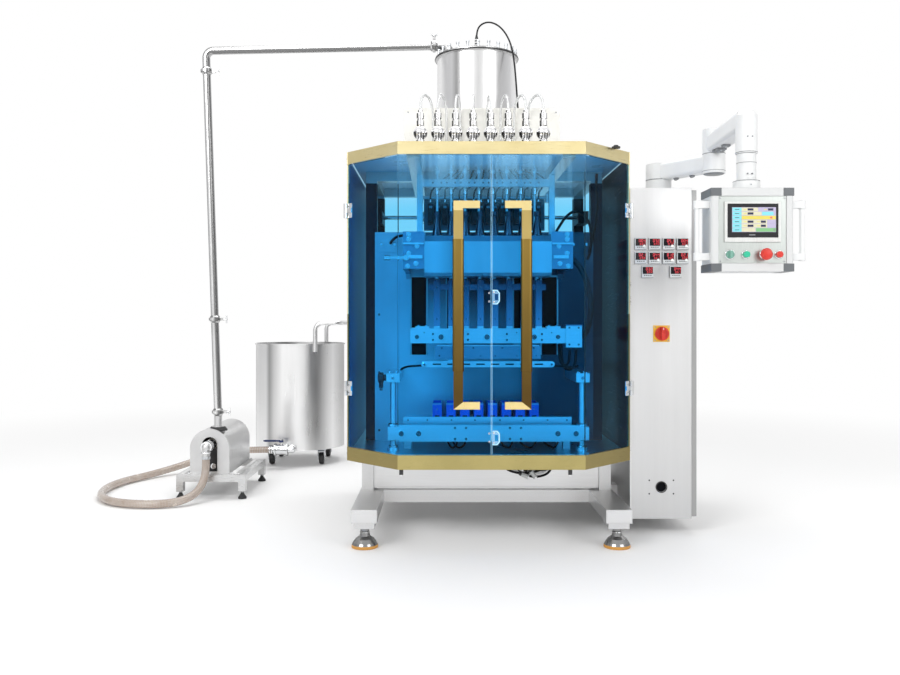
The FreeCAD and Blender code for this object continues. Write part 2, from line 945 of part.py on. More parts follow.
def build_sheets():
    inside = s.band_thickness + 0.4
    post_holes = []
    for side in (-1, 1):
        for y in (s.middle_post_place, s.machine_depth - s.tube_side):
            post_holes.append(plate(side * s.leg_place, y, deck_bottom - 1, s.tube_side + 1,
                                    s.tube_side + 1, s.deck_thickness + 2))
    deck = extruded(inset_outline(inside, s.machine_depth), deck_bottom, s.deck_thickness)
    width = (s.leg_place - s.tube_side / 2) * 2 - 1
    lower = plate(0, s.front_leg_place + 10, s.lower_panel_bottom, width, s.sheet,
                  deck_bottom - s.rail_height - s.lower_panel_bottom)
    node("base_panels", cut(deck, *post_holes), lower)
    pieces = [extruded(inset_outline(inside, s.machine_depth), roof_bottom, s.roof_thickness)]
    side_front = s.facet_depth + s.guard_post_depth + 4.3
    for side in (-1, 1):
        middle = side * (s.guard_half_width - s.sheet / 2)
        tall = s.band_top - s.band_bottom
        pieces.append(plate(middle, side_front, s.band_bottom, s.sheet, s.machine_depth - side_front, tall))
    pieces.append(rod(s.gland_x, s.gland_y, roof_top, s.gland_radius, s.gland_height))
    node("body_panels", *pieces)


work_panel_y = s.middle_post_place - 6


def build_work_panel():
    body = new_body("WorkPanel")
    drawing = sketch(body, "XZ_Plane")
    half = s.work_panel_half
    tall = s.work_panel_top - deck_top
    polygon(drawing, [(-half, 0), (half, 0), (half, tall), (-half, tall)])
    pad(body, drawing, 6, True)
    slots = sketch(body, "XZ_Plane")
    for middle, width in ((s.outer_slot_place, s.outer_slot_width),
                          (s.inner_slot_place, s.inner_slot_width)):
        for side in (-1, 1):
            left = side * middle - width / 2
            right = side * middle + width / 2
            low = s.slot_low - deck_top
            high = s.slot_high - deck_top
            polygon(slots, [(left, low), (right, low), (right, high), (left, high)])
    pocket(body, slots, 10)
    place(body, 0, work_panel_y, deck_top)
    node("work_panel", body)


lane_places = [number - (SIZES["lane_count"] - 1) / 2 for number in range(SIZES["lane_count"])]


def build_guides():
    pieces = []
    panel_y = work_panel_y
    block_back = s.block_front + s.block_depth
    bar_y = block_back
    bar = plate(0, bar_y, s.guide_bar_bottom, s.guide_bar_half * 2, 20, s.guide_bar_height)
    pieces.append(bar)
    upright = s.guide_upright_width
    for side in (-1, 1):
        x = side * (s.guide_bar_half - upright / 2)
        pieces.append(plate(x, bar_y, s.block_top - 60, upright, 20,
                            roof_bottom - s.rail_height - s.block_top + 60))
    for lane in lane_places:
        x = lane * s.lane_pitch
        pieces.append(rod(x, bar_y + 10, s.block_top - 60, s.rod_radius, roof_bottom - s.block_top + 60))
    works = [fused(*pieces)]
    for side in (-1, 1):
        arm_x = side * (s.block_half_width + s.bracket_reach) / 2
        arm_width = s.bracket_reach - s.block_half_width
        low = s.block_bottom + s.bracket_rise
        front = plate(arm_x, s.block_front + 12, low, arm_width, 12, s.bracket_height)
        reach = panel_y - s.block_front - 12
        spine = side_plate(side * (s.bracket_reach - 10) - 10, s.block_front + 12, low, 20,
                           [(0, 0), (reach - 60, 0), (reach, -26), (reach, 110), (60, 110), (0, 84)])
        works.append(fused(front, spine))
    for side in (-1, 1):
        x = side * s.post_place
        post = rod(x, s.post_y, deck_top, s.post_radius, s.post_head - deck_top + s.post_head_height)
        flange = rod(x, s.post_y, deck_top, s.post_radius + 12, 14)
        head = plate(x, s.post_y - 27, s.post_head, 54, panel_y - s.post_y + 27, s.post_head_height)
        works.append(fused(post, flange, head))
    side_block = s.slide_block_side
    for place_x, height in ((s.outer_slot_place, seal_rod_height), (s.inner_slot_place, cross_rod_height)):
        for side in (-1, 1):
            wide = s.outer_slot_width + 24 if place_x is s.outer_slot_place else s.inner_slot_width + 40
            block = plate(side * place_x, panel_y + 6, height - side_block / 2, wide,
                          s.slide_block_depth, side_block)
            bore = rod(side * place_x, panel_y, height, s.slide_rod_radius + s.slide_clearance, 100, "Y")
            works.append(cut(block, bore))
    node("guide_frame", *works)


seal_rod_height = s.seal_bar_bottom + s.seal_bar_height / 2
cross_rod_height = s.cross_plate_bottom + s.cross_plate_height / 2 + 4


def build_forming_block():
    body = new_body("FormingBlock")
    drawing = sketch(body, "YZ_Plane", -s.block_half_width)
    tall = s.block_top - s.block_bottom
    deep = s.block_depth
    polygon(drawing, [(0, 14), (14, 0), (deep, 0), (deep, tall), (26, tall), (0, tall - 26)])
    pad(body, drawing, s.block_half_width * 2)
    place(body, 0, s.block_front, s.block_bottom)
    pieces = [body]
    former_y = s.block_front + s.block_depth / 2
    for lane in lane_places:
        x = lane * s.lane_pitch
        radius = s.former_radius
        tall_part = s.shoulder_height
        pieces.append(revolved(x, former_y, s.block_top - 1,
                               [(0, 0), (s.shoulder_radius, 0), (s.shoulder_radius, 7), (radius, tall_part),
                                (radius, tall_part + 12), (radius + 4, tall_part + 14),
                                (radius + 4, tall_part + 32), (0, tall_part + 32)]))
        pieces.append(revolved(x, former_y, s.block_bottom - s.former_length,
                               [(0, 0), (radius - 3, 0), (radius, 5), (radius, s.former_length + 2),
                                (0, s.former_length + 2)]))
    node("forming_block", fused(*pieces))


def build_clamp_lever():
    x = -s.bracket_reach + 14
    seat = s.block_front + 12 - 0.3
    height = s.block_bottom + s.bracket_rise + s.lever_rise
    hub = rod(x, seat - 20, height, 12, 20, "Y")
    arm = box(x - s.lever_length + 4, seat - 16, height - 5, s.lever_length, 8, 10)
    knob = rod(x - s.lever_length - 14, seat - 12, height, 11, 24, "X")
    node("clamp_lever", fused(hub, arm, knob))


def build_seal_bar():
    width = s.seal_bar_half * 2
    bar = plate(0, s.seal_bar_front, s.seal_bar_bottom, width, s.seal_bar_depth, s.seal_bar_height)
    end = box(s.seal_bar_half, s.seal_bar_front - 6, s.seal_bar_bottom - 17, 66, s.seal_bar_depth + 12, 93)
    pieces = [bar, end]
    bar_top = s.seal_bar_bottom + s.seal_bar_height
    for lane in lane_places:
        pieces.append(plate(lane * s.lane_pitch, s.seal_bar_front + 10, bar_top, s.seal_column_width,
                            30, s.seal_column_top - bar_top))
    pieces.append(plate(0, s.seal_bar_front + 14, s.seal_column_top - 40,
                        s.lane_pitch * s.lane_count, 20, 24))
    for side in (-1, 1):
        start = s.seal_bar_front + s.seal_bar_depth
        reach = work_panel_y + s.slide_block_depth + 30 - start
        pieces.append(rod(side * s.outer_slot_place, start - 1, seal_rod_height, s.slide_rod_radius,
                          reach, "Y"))
    node("seal_bar", fused(*pieces))


def build_cutter_bar():
    front = s.seal_bar_front + 10
    upper = plate(0, front, s.cross_plate_bottom, s.cross_plate_half * 2, 24, s.cross_plate_height)
    half = s.cutter_half - s.cutter_height / 2
    lower = plate(0, front - 8, s.cutter_bottom, half * 2, 12, s.cutter_height)
    pieces = [upper, lower]
    middle_z = s.cutter_bottom + s.cutter_height / 2
    for side in (-1, 1):
        pieces.append(rod(side * half, front - 8, middle_z, s.cutter_height / 2, 12, "Y"))
        pieces.append(plate(side * s.inner_slot_place, front + 2, s.cutter_bottom + 2, 30, 18,
                            s.cross_plate_bottom - s.cutter_bottom))
        reach = work_panel_y + s.slide_block_depth + 30 - front - 24
        pieces.append(rod(side * s.inner_slot_place, front + 23, cross_rod_height, s.slide_rod_radius,
                          reach, "Y"))
    slots = []
    for lane in lane_places:
        slots.append(plate(lane * s.lane_pitch, front - 20, middle_z - 3, 36, 24, 6))
    link = plate(0, front + 2, s.cutter_bottom + 2, half * 2, 4, s.cutter_height - 4)
    node("cutter_bar", fused(cut(fused(*pieces), *slots), cut(link, *[
        plate(lane * s.lane_pitch, front - 20, middle_z - 3, 36, 40, 6) for lane in lane_places])))


def build_carriage():
    bar = plate(0, s.carriage_front, s.carriage_bottom, (s.post_place - 15) * 2, s.carriage_depth,
                s.carriage_height)
    pieces = [bar]
    bores = []
    for side in (-1, 1):
        x = side * s.post_place
        pieces.append(rod(x, s.post_y, s.carriage_bottom, s.carriage_bush_radius, s.carriage_height))
        pieces.append(plate(x, s.carriage_front, s.carriage_bottom + 6, 38,
                            s.post_y - s.carriage_front, s.carriage_height - 12))
        bores.append(rod(x, s.post_y, s.carriage_bottom - 5, s.post_radius + s.slide_clearance,
                         s.carriage_height + 10))
    node("pull_carriage", cut(fused(*pieces), *bores))


def build_chutes():
    depth = work_panel_y - s.shelf_front
    top = plate(0, s.shelf_front, s.shelf_height, s.shelf_half * 2, depth, 4)
    lip = plate(0, s.shelf_front, s.shelf_height, s.shelf_half * 2, 4, 33)
    pieces = [top, lip]
    for side in (-1, 1):
        x = side * (s.shelf_half - 15)
        pieces.append(plate(x, s.shelf_front + 40, deck_top, 30, 30, s.shelf_height - deck_top))
        pieces.append(plate(x, work_panel_y - 40, deck_top, 30, 30, s.shelf_height - deck_top))
    hollows = []
    base = s.shelf_height + 4
    wall = s.chute_wall
    for lane in lane_places:
        x = lane * s.lane_pitch
        deep = work_panel_y - s.chute_front - 8
        pieces.append(plate(x, s.chute_front, base, s.chute_width, deep, s.chute_top - base))
        hollows.append(plate(x, s.chute_front + wall, base + wall, s.chute_width - wall * 2,
                             deep - wall * 2, s.chute_top - base))
    node("chutes", cut(fused(*pieces), *hollows))


def build_film():
    reach = s.leg_place + s.tube_side / 2
    reel = rod(-s.reel_half_width, s.reel_y, s.reel_height, s.reel_radius, s.reel_half_width * 2, "X")
    shaft = rod(-reach, s.reel_y, s.reel_height, s.reel_shaft_radius, reach * 2, "X")
    pieces = [reel, shaft]
    for side in (-1, 1):
        pieces.append(rod(side * (s.reel_half_width + 12) - 12, s.reel_y, s.reel_height, 60, 24, "X"))
    node("film_reel", fused(*pieces))
    roller = rod(-s.roller_half_width, s.reel_y, roller_height, s.roller_radius,
                 s.roller_half_width * 2, "X")
    spindle = rod(-reach, s.reel_y, roller_height, s.roller_shaft_radius, reach * 2, "X")
    node("film_roller", fused(roller, spindle))


cabinet_left = s.guard_half_width + s.cabinet_gap
cabinet_right = cabinet_left + s.cabinet_width
cabinet_back = s.cabinet_front + s.cabinet_depth
cabinet_height = s.cabinet_top - s.cabinet_bottom
controller_spots = []
for column in (-1.5, -0.5, 0.5, 1.5):
    for step in (0, 1):
        controller_spots.append((s.controller_column + column * s.controller_pitch,
                                 s.controller_row - step * s.controller_pitch))
for column in (-1, 1):
    controller_spots.append((s.controller_column + column * s.controller_pitch,
                             s.controller_row - 2 * s.controller_pitch))
door_axis_x = cabinet_right + s.cabinet_door_gap + s.cabinet_door_thickness
door_axis_y = cabinet_back + 6


def build_cabinet():
    wall = s.cabinet_wall
    shell = box(cabinet_left, s.cabinet_front, s.cabinet_bottom, s.cabinet_width, s.cabinet_depth,
                cabinet_height)
    hollow = box(cabinet_left + wall, s.cabinet_front + wall, s.cabinet_bottom + wall, s.cabinet_width,
                 s.cabinet_depth - wall * 2, cabinet_height - wall * 2)
    holes = [hollow]
    for x, z in controller_spots:
        hole = s.controller_body + 1
        holes.append(plate(x, s.cabinet_front - 1, z - hole / 2, hole, wall + 2, hole))
    holes.append(rod(s.controller_column, s.cabinet_front - 1, s.switch_height,
                     s.switch_shaft_radius + 1, wall + 2, "Y"))
    holes.append(rod(s.controller_column, s.cabinet_front - 1, s.inlet_height, s.inlet_radius,
                     wall + 2, "Y"))
    for side in (-1, 1):
        for up in (-1, 1):
            x = s.controller_column + side * s.inlet_pitch_x / 2
            z = s.inlet_height + up * s.inlet_pitch_z / 2
            holes.append(rod(x, s.cabinet_front - 1, z, s.inlet_screw_radius, wall + 2, "Y"))
    pieces = [cut(shell, *holes)]
    for z in (s.cabinet_bottom + 200, s.cabinet_top - 260):
        leaf = box(door_axis_x - 60, cabinet_back, z, 60, 4, 60)
        knuckles = [rod(door_axis_x, door_axis_y, z, 6, 20), rod(door_axis_x, door_axis_y, z + 40, 6, 20)]
        room = rod(door_axis_x, door_axis_y, z + 20, 7, 20)
        pin = rod(door_axis_x, door_axis_y, z, 3, 60)
        pieces.append(fused(cut(fused(leaf, *knuckles), room), pin))
    node("cabinet_shell", fused(*pieces))


def build_cabinet_door():
    left = cabinet_right + s.cabinet_door_gap
    tall = cabinet_height - 20
    panel = box(left, s.cabinet_front, s.cabinet_bottom + 10, s.cabinet_door_thickness,
                s.cabinet_depth - 1, tall)
    hollow = box(left - 1, s.cabinet_front + 18, s.cabinet_bottom + 28,
                 s.cabinet_door_thickness - 2, s.cabinet_depth - 37, tall - 36)
    pieces = [cut(panel, hollow)]
    for z in (s.cabinet_bottom + 220.5, s.cabinet_top - 239.5):
        leaf = box(door_axis_x, door_axis_y - 45, z, 3, 44, 19)
        knuckle = rod(door_axis_x, door_axis_y, z, 6, 19)
        bore = rod(door_axis_x, door_axis_y, z - 1, 3.06, 21)
        pieces.append(cut(fused(leaf, knuckle), bore))
    for z in (s.cabinet_bottom + 420, s.cabinet_top - 420):
        pieces.append(rod(door_axis_x - 1, s.cabinet_front + 40, z, 13, 7, "X"))
    node("cabinet_door", fused(*pieces))


def build_cabinet_equipment():
    wall_x = cabinet_left + s.cabinet_wall
    front = s.cabinet_front + 120
    base = box(wall_x + 20, front, s.cabinet_bottom + 90, 3, s.cabinet_depth - 200, cabinet_height - 180)
    pieces = [base]
    for y in (front + 20, front + s.cabinet_depth - 240):
        for z in (s.cabinet_bottom + 110, s.cabinet_top - 130):
            pieces.append(rod(wall_x, y, z, 8, 20, "X"))
    face = wall_x + 23
    rows = ((s.cabinet_bottom + 130, 200, 5, 96), (s.cabinet_bottom + 390, 130, 6, 78),
            (s.cabinet_bottom + 580, 170, 4, 122), (s.cabinet_bottom + 820, 110, 10, 42))
    for z, tall, count, width in rows:
        for number in range(count):
            pieces.append(box(face, front + 30 + number * (width + 6), z, 90, width, tall))
    node("cabinet_equipment", fused(*pieces))
    controllers = []
    for x, z in controller_spots:
        side = s.controller_side
        bezel = plate(x, s.cabinet_front - s.controller_bezel, z - side / 2, side, s.controller_bezel, side)
        case = plate(x, s.cabinet_front, z - s.controller_body / 2, s.controller_body,
                     s.controller_depth, s.controller_body)
        controllers.append(fused(bezel, case))
    node("temperature_controllers", *controllers)


def build_main_switch():
    side = s.switch_plate_side
    sheet_plate = plate(s.controller_column, s.cabinet_front - 4, s.switch_height - side / 2, side, 4, side)
    hole = rod(s.controller_column, s.cabinet_front - 5, s.switch_height, s.switch_shaft_radius + 1, 6, "Y")
    node("main_switch_plate", cut(sheet_plate, hole))
    face = s.cabinet_front - 4.4
    disc = rod(s.controller_column, face - 12, s.switch_height, s.switch_knob_radius, 12, "Y")
    grip = plate(s.controller_column, face - 32, s.switch_height - s.switch_knob_radius + 3, 15, 21,
                 s.switch_knob_radius * 2 - 6)
    shaft = rod(s.controller_column, face - 1, s.switch_height, s.switch_shaft_radius, 60, "Y")
    node("main_switch_knob", fused(disc, grip, shaft))


arm_low = s.cabinet_top + s.arm_collar_height
arm_high = arm_low + s.arm_section


def arm_beam(start_x, start_y, end_x, end_y, bottom, height, width):
    """A straight beam between two upright axes, seen from above."""
    run_x = end_x - start_x
    run_y = end_y - start_y
    reach = root_of(run_x * run_x + run_y * run_y)
    side_x = run_y / reach * width / 2
    side_y = run_x / reach * width / 2
    outline = [(start_x + side_x, start_y - side_y), (end_x + side_x, end_y - side_y),
               (end_x - side_x, end_y + side_y), (start_x - side_x, start_y + side_y)]
    beam = extruded(outline, bottom, height)
    round_edges(beam, s.arm_edge_radius, is_long)
    return beam


def build_arm():
    x, y = s.arm_base_x, s.arm_base_y
    flange = rod(x, y, s.cabinet_top, s.arm_base_radius, s.arm_collar_height - s.arm_clearance)
    pin = rod(x, y, s.cabinet_top, s.arm_pin_radius, s.arm_collar_height + s.arm_section - 12)
    node("arm_base", fused(flange, pin))
    bore = s.arm_pin_radius + 0.06
    knuckle = rod(x, y, arm_low, s.arm_base_radius, s.arm_section)
    beam = arm_beam(x, y, s.arm_elbow_x, s.arm_elbow_y, arm_low, s.arm_section, s.arm_beam_width)
    elbow = rod(s.arm_elbow_x, s.arm_elbow_y, arm_low - 8, s.arm_knuckle_radius, s.arm_section + 8)
    spigot = rod(s.arm_elbow_x, s.arm_elbow_y, arm_low, s.arm_pin_radius, s.arm_section + 70)
    hole = rod(x, y, arm_low - 20, bore, s.arm_section + 8)
    node("arm_lower", fused(cut(fused(knuckle, beam, elbow), hole), spigot))
    upper_low = arm_high + s.arm_clearance
    upper_section = s.arm_upper_height - s.arm_clearance
    elbow_top = rod(s.arm_elbow_x, s.arm_elbow_y, upper_low, s.arm_knuckle_radius, upper_section)
    upper_beam = arm_beam(s.arm_elbow_x, s.arm_elbow_y, s.arm_drop_x, s.arm_drop_y, upper_low + 6,
                          s.arm_section, s.arm_beam_width)
    head_top = upper_low + 6 + s.arm_section
    head = revolved(s.arm_drop_x, s.arm_drop_y, s.arm_drop_bottom,
                    [(0, 0), (s.arm_drop_radius, 0), (s.arm_drop_radius, head_top - s.arm_drop_bottom - 16),
                     (s.arm_drop_radius - 12, head_top - s.arm_drop_bottom),
                     (0, head_top - s.arm_drop_bottom)])
    elbow_hole = rod(s.arm_elbow_x, s.arm_elbow_y, upper_low - 5, bore, 80)
    head_hole = rod(s.arm_drop_x, s.arm_drop_y, s.arm_drop_bottom - 5, bore, 75)
    node("arm_upper", cut(fused(elbow_top, upper_beam, head), elbow_hole, head_hole))
    neck_low = s.panel_top
    neck_high = s.arm_drop_bottom - s.arm_clearance
    outline = [(0, 0), (s.arm_flange_radius, 0), (s.arm_flange_radius, s.arm_flange_height),
               (s.arm_neck_radius, s.arm_flange_height + 4), (s.arm_neck_radius, neck_high - neck_low),
               (s.arm_pin_radius, neck_high - neck_low), (s.arm_pin_radius, neck_high - neck_low + 60),
               (0, neck_high - neck_low + 60)]
    node("arm_neck", revolved(s.arm_drop_x, s.arm_drop_y, neck_low, outline))


def button_spots():
    return (("selector_knob", s.selector_offset), ("green_button", s.green_offset),
            ("emergency_stop", s.stop_offset), ("red_button", s.red_offset))


def build_panel():
    tall = s.panel_top - s.panel_bottom
    case = new_body("PanelCase")
    drawing = sketch(case, "XY_Plane")
    half = s.panel_width / 2
    deep = s.panel_depth / 2
    front_edge = -deep - s.panel_rim
    polygon(drawing, [(-half, front_edge), (half, front_edge), (half, deep), (-half, deep)])
    pad(case, drawing, tall)
    round_edges(case, 9, is_upright)
    place(case, s.arm_drop_x, s.arm_drop_y, s.panel_bottom)
    caps = []
    for side in (-1, 1):
        for z in (s.panel_bottom, s.panel_top - s.panel_cap_height):
            x = s.arm_drop_x + side * (half - s.panel_cap_width / 2 + 1)
            caps.append(plate(x, panel_front - s.panel_rim - 1, z, s.panel_cap_width,
                              s.panel_depth + s.panel_rim + 2, s.panel_cap_height))
    recess = plate(s.arm_drop_x, panel_front - s.panel_rim - 2,
                   s.panel_bottom + (tall - s.panel_plate_height) / 2 - 0.5, s.panel_plate_width + 1,
                   s.panel_rim + 2, s.panel_plate_height + 1)
    holes = [recess]
    plate_holes = []
    for name, offset in button_spots():
        x = s.arm_drop_x + offset
        holes.append(rod(x, panel_front - 1, s.button_row, s.button_stem_radius + 3, 40, "Y"))
        plate_holes.append(rod(x, panel_face - 1, s.button_row, s.button_stem_radius + 0.05, 10, "Y"))
    node("hmi_box", cut(fused(case, *caps), *holes))
    plate_low = s.panel_bottom + (tall - s.panel_plate_height) / 2
    front = plate(s.arm_drop_x, panel_face, plate_low, s.panel_plate_width, s.panel_plate_thickness,
                  s.panel_plate_height)
    bezel = plate(s.arm_drop_x, panel_face - s.bezel_thickness, s.bezel_bottom, s.bezel_width,
                  s.bezel_thickness + 1, s.bezel_height)
    node("hmi_front_plate", cut(fused(front, bezel), *plate_holes))
    bars = []
    for side in (-1, 1):
        grip_x = s.arm_drop_x + side * s.panel_handle_reach
        side_x = s.arm_drop_x + side * s.panel_width / 2
        low = s.panel_handle_bottom
        tall_grip = s.panel_handle_top - low
        y = s.arm_drop_y - 30
        arm = s.panel_handle_arm
        pieces = [rod(grip_x, y, low, s.panel_handle_radius, tall_grip)]
        for z in (low + 2, low + tall_grip - arm - 2):
            pieces.append(plate((grip_x + side_x) / 2, y - 11, z, s.panel_handle_reach - s.panel_width / 2,
                                22, arm))
            pieces.append(rod(grip_x, y, z - 2, s.panel_handle_collar, arm + 4))
        bars.append(fused(*pieces))
    node("hmi_handles", *bars)
    build_buttons()


def build_buttons():
    stem_length = 30
    for name, offset in button_spots():
        x = s.arm_drop_x + offset
        z = s.button_row
        start = panel_face - button_gap
        if name == "selector_knob":
            start = panel_face - 0.4
            disc = rod(x, start - 7, z, 14, 7, "Y")
            grip = plate(x, start - 19, z - 13, 8, 13, 26)
            pieces = [disc, grip]
        elif name == "emergency_stop":
            stop = revolved(0, 0, 0, [(0, 0), (12, 0), (12, 12), (s.stop_radius, 16), (s.stop_radius, 24),
                                      (s.stop_radius - 6, s.stop_height - 1), (0, s.stop_height)])
            pieces = [place(lying(stop), x, start, z)]
        else:
            pieces = [rod(x, start - s.button_reach, z, s.button_radius, s.button_reach, "Y")]
        stem = rod(x, start - 1, z, s.button_stem_radius, stem_length, "Y")
        node(name, fused(*(pieces + [stem])))


def build_hopper():
    wall = s.hopper_wall
    radius = s.hopper_radius
    rim = s.hopper_rim - s.hopper_outlet
    shoulder = s.hopper_shoulder - s.hopper_outlet
    small = s.hopper_outlet_radius
    outline = [(small, 0), (radius, shoulder), (radius, rim - 6), (radius + 10, rim - 6),
               (radius + 10, rim), (radius - wall, rim), (radius - wall, shoulder + wall),
               (small - wall, 2), (small - wall, -30), (small, -30)]
    shell = revolved(s.hopper_x, s.hopper_y, s.hopper_outlet, outline)
    pieces = [shell]
    for side_x, side_y in ((-1, -1), (1, -1), (-1, 1), (1, 1)):
        reach = s.hopper_leg_place * math.sqrt(0.5)
        x = s.hopper_x + side_x * reach
        y = s.hopper_y + side_y * reach
        pieces.append(rod(x, y, roof_top, s.hopper_leg_radius, s.hopper_shoulder + 20 - roof_top))
    solid_inside = revolved(s.hopper_x, s.hopper_y, s.hopper_outlet,
                            [(0, 2), (small - wall, 2), (radius - wall, shoulder + wall),
                             (radius - wall, rim + 10), (0, rim + 10)])
    valve = rod(s.hopper_x, s.hopper_y, roof_top, small + 12, s.hopper_outlet - 30 - roof_top)
    node("hopper", cut(fused(*pieces), solid_inside), valve)
    lid_outline = [(0, 0), (radius + 10, 0), (radius + 10, 6), (radius - 20, 18),
                   (radius * 0.5, s.lid_height - 3), (0, s.lid_height)]
    lid = revolved(s.hopper_x, s.hopper_y, s.hopper_rim, lid_outline)
    sensor = rod(s.hopper_x, s.hopper_y, s.hopper_rim + s.lid_height - 2, s.sensor_radius, s.sensor_height)
    port = rod(s.pipe_end, s.hopper_y, s.hopper_rim + 4, s.clamp_radius - 5, s.lid_port_height - 4)
    node("hopper_lid", fused(lid, sensor, port))


def head_outline():
    """A filling head from its flange on the roof to the barb under its tube."""
    base = s.head_base_radius
    barrel = s.head_cylinder_radius
    ball_z = s.head_ball_height - roof_top
    top = s.head_top - roof_top
    return [(0, 0), (base + 5, 0), (base + 5, 6), (base, 8), (base, ball_z - 30), (base - 4, ball_z - 26),
            (base - 4, ball_z + 26), (barrel, ball_z + 30), (barrel, ball_z + 48),
            (barrel - 3, ball_z + 50), (barrel - 3, ball_z + 55), (barrel, ball_z + 57),
            (barrel, top - 18), (barrel - 5, top - 14),
            (barrel - 5, top - 5), (barrel - 8, top), (0, top)]


def build_filling():
    heads = []
    tubes = []
    for lane in lane_places:
        x = s.head_middle + lane * s.head_pitch
        round_part = ball(x, s.head_y, s.head_ball_height, s.head_ball_radius)
        heads.append(fused(revolved(x, s.head_y, roof_top, head_outline()), round_part))
        foot_x = x - lane * s.tube_lean
        foot_y = s.head_y + s.tube_span
        loop_top = s.head_top + s.tube_span / 2
        points = [(x, s.head_y, s.head_top), (x, s.head_y, loop_top),
                  (foot_x, foot_y, loop_top), (foot_x, foot_y, roof_top)]
        tubes.append(tube_part("Loop", points, s.tube_radius, s.tube_span / 2 - 2))
    node("filling_heads", *heads)
    node("filling_tubes", *tubes)
    wall = s.sheet
    width = s.cover_right - s.cover_left
    tall = s.cover_top - roof_top
    outer = box(s.cover_left, s.cover_front, roof_top, width, s.cover_depth, tall)
    inner = box(s.cover_left + wall, s.cover_front + wall, roof_top - 1, width - wall * 2,
                s.cover_depth - wall * 2, tall - wall + 1)
    node("filling_guard", cut(outer, inner))


def build_pump():
    x = s.pump_x
    arch_z = s.pump_arch_height
    tall = arch_z - s.stand_top
    case = fused(plate(x, s.pump_front, s.stand_top, s.pump_half_width * 2, s.pump_depth, tall),
                 rod(x, s.pump_front, arch_z, s.pump_half_width, s.pump_depth, "Y"))
    slot_low = s.stand_top + 12
    slot = fused(plate(x, s.pump_front - 1, slot_low, s.pump_slot_width, s.pump_slot_depth,
                       s.pump_slot_arch - slot_low),
                 rod(x, s.pump_front - 1, s.pump_slot_arch, s.pump_slot_width / 2, s.pump_slot_depth, "Y"))
    face_y = s.pump_front + s.pump_slot_depth
    head = rod(x, s.pump_front + 40, s.pump_inlet_height, 30, face_y - s.pump_front - 40, "Y")
    inlet = rod(x, s.pump_front - s.pump_inlet_reach, s.pump_inlet_height, s.pipe_radius,
                s.pump_inlet_reach + 50, "Y")
    foot = box(x - 4, s.pump_front + 24, slot_low - 1, 36, 10, s.pump_inlet_height - slot_low - 20)
    sole = box(x - 4, s.pump_front + 24, slot_low - 1, 36, face_y - s.pump_front - 24, 8)
    outlet_z = arch_z + 80
    outlet = rod(s.pipe_x_bottom, s.pipe_y, outlet_z, s.pipe_radius, s.pipe_bottom - outlet_z - 0.7)
    collar = rod(s.pipe_x_bottom, s.pipe_y, outlet_z, s.pipe_radius + 12, 26)
    inlet_y = s.pump_front - s.pump_inlet_reach
    drop = rod(x, inlet_y, s.pump_inlet_height - s.pump_inlet_drop, s.pipe_radius, s.pump_inlet_drop)
    elbow = fused(drop, ball(x, inlet_y, s.pump_inlet_height, s.pipe_radius + 2))
    node("pump_housing", fused(cut(case, slot), head, inlet, foot, sole, outlet, collar, elbow))
    tube_side = s.stand_tube
    bottom = s.stand_top - tube_side
    width = s.stand_right - s.stand_left
    depth = s.stand_back - s.stand_front
    rails = [box(s.stand_left, s.stand_front, bottom, width, tube_side, tube_side),
             box(s.stand_left, s.stand_back - tube_side, bottom, width, tube_side, tube_side),
             box(s.stand_left, s.stand_front, bottom, tube_side, depth, tube_side),
             box(s.stand_right - tube_side, s.stand_front, bottom, tube_side, depth, tube_side),
             plate(x, s.stand_front, bottom, tube_side * 2, depth, tube_side)]
    pieces = list(rails)
    for corner_x in (s.stand_left + tube_side / 2, s.stand_right - tube_side / 2):
        for corner_y in (s.stand_front + tube_side / 2, s.stand_back - tube_side / 2):
            pieces.append(plate(corner_x, corner_y - tube_side / 2, s.stand_foot_height, tube_side,
                                tube_side, bottom - s.stand_foot_height))
            foot_top = s.stand_foot_height + 1
            pieces.append(revolved(corner_x, corner_y, 0, [(0, 0), (s.stand_foot_radius, 0),
                                                           (s.stand_foot_radius, 7), (9, 24),
                                                           (7, foot_top), (0, foot_top)]))
    node("pump_stand", fused(*pieces))


def tri_clamp():
    """A clamp band over its two ferrules, upright and from its lower ferrule's foot."""
    radius = s.clamp_radius
    tube_side = s.pipe_radius + 1
    tall = s.clamp_height
    outline = [(0, -10), (tube_side, -10), (radius - 5, -2), (radius - 5, 0), (radius, 2),
               (radius, tall - 2), (radius - 5, tall), (radius - 5, tall + 2), (tube_side, tall + 10),
               (0, tall + 10)]
    return revolved(0, 0, 0, outline)


def build_feed_pipe():
    points = [(s.pipe_x_bottom, s.pipe_y, s.pipe_bottom),
              (s.pipe_x_top, s.pipe_y, s.pipe_run),
              (s.pipe_end, s.hopper_y, s.pipe_run),
              (s.pipe_end, s.hopper_y, s.hopper_rim + s.lid_port_height)]
    pipe = tube_part("FeedPipe", points, s.pipe_radius, s.pipe_bend)
    rise = s.pipe_run - s.pipe_bottom
    lean = (s.pipe_x_top - s.pipe_x_bottom) / rise
    clamps = []
    for up in (s.clamp_foot, s.clamp_middle, rise - s.clamp_drop):
        x = s.pipe_x_bottom + lean * up
        z = s.pipe_bottom + up
        clamps.append(place(tri_clamp(), x, s.pipe_y, z))
        clamps.append(plate(x + s.clamp_radius + 6, s.pipe_y - 7, z + 1, 16, 14, s.clamp_height - 2))
    x = s.pipe_end - s.clamp_side
    clamp_y = s.pipe_y + (s.hopper_y - s.pipe_y) * (x - s.pipe_x_top) / (s.pipe_end - s.pipe_x_top)
    clamps.append(place(sideways(tri_clamp()), x, clamp_y, s.pipe_run))
    wing = s.clamp_height - 2
    clamps.append(box(x + 1, clamp_y - 7, s.pipe_run + s.clamp_radius - 2, wing, 14, 16))
    node("feed_pipe", fused(pipe, *clamps))


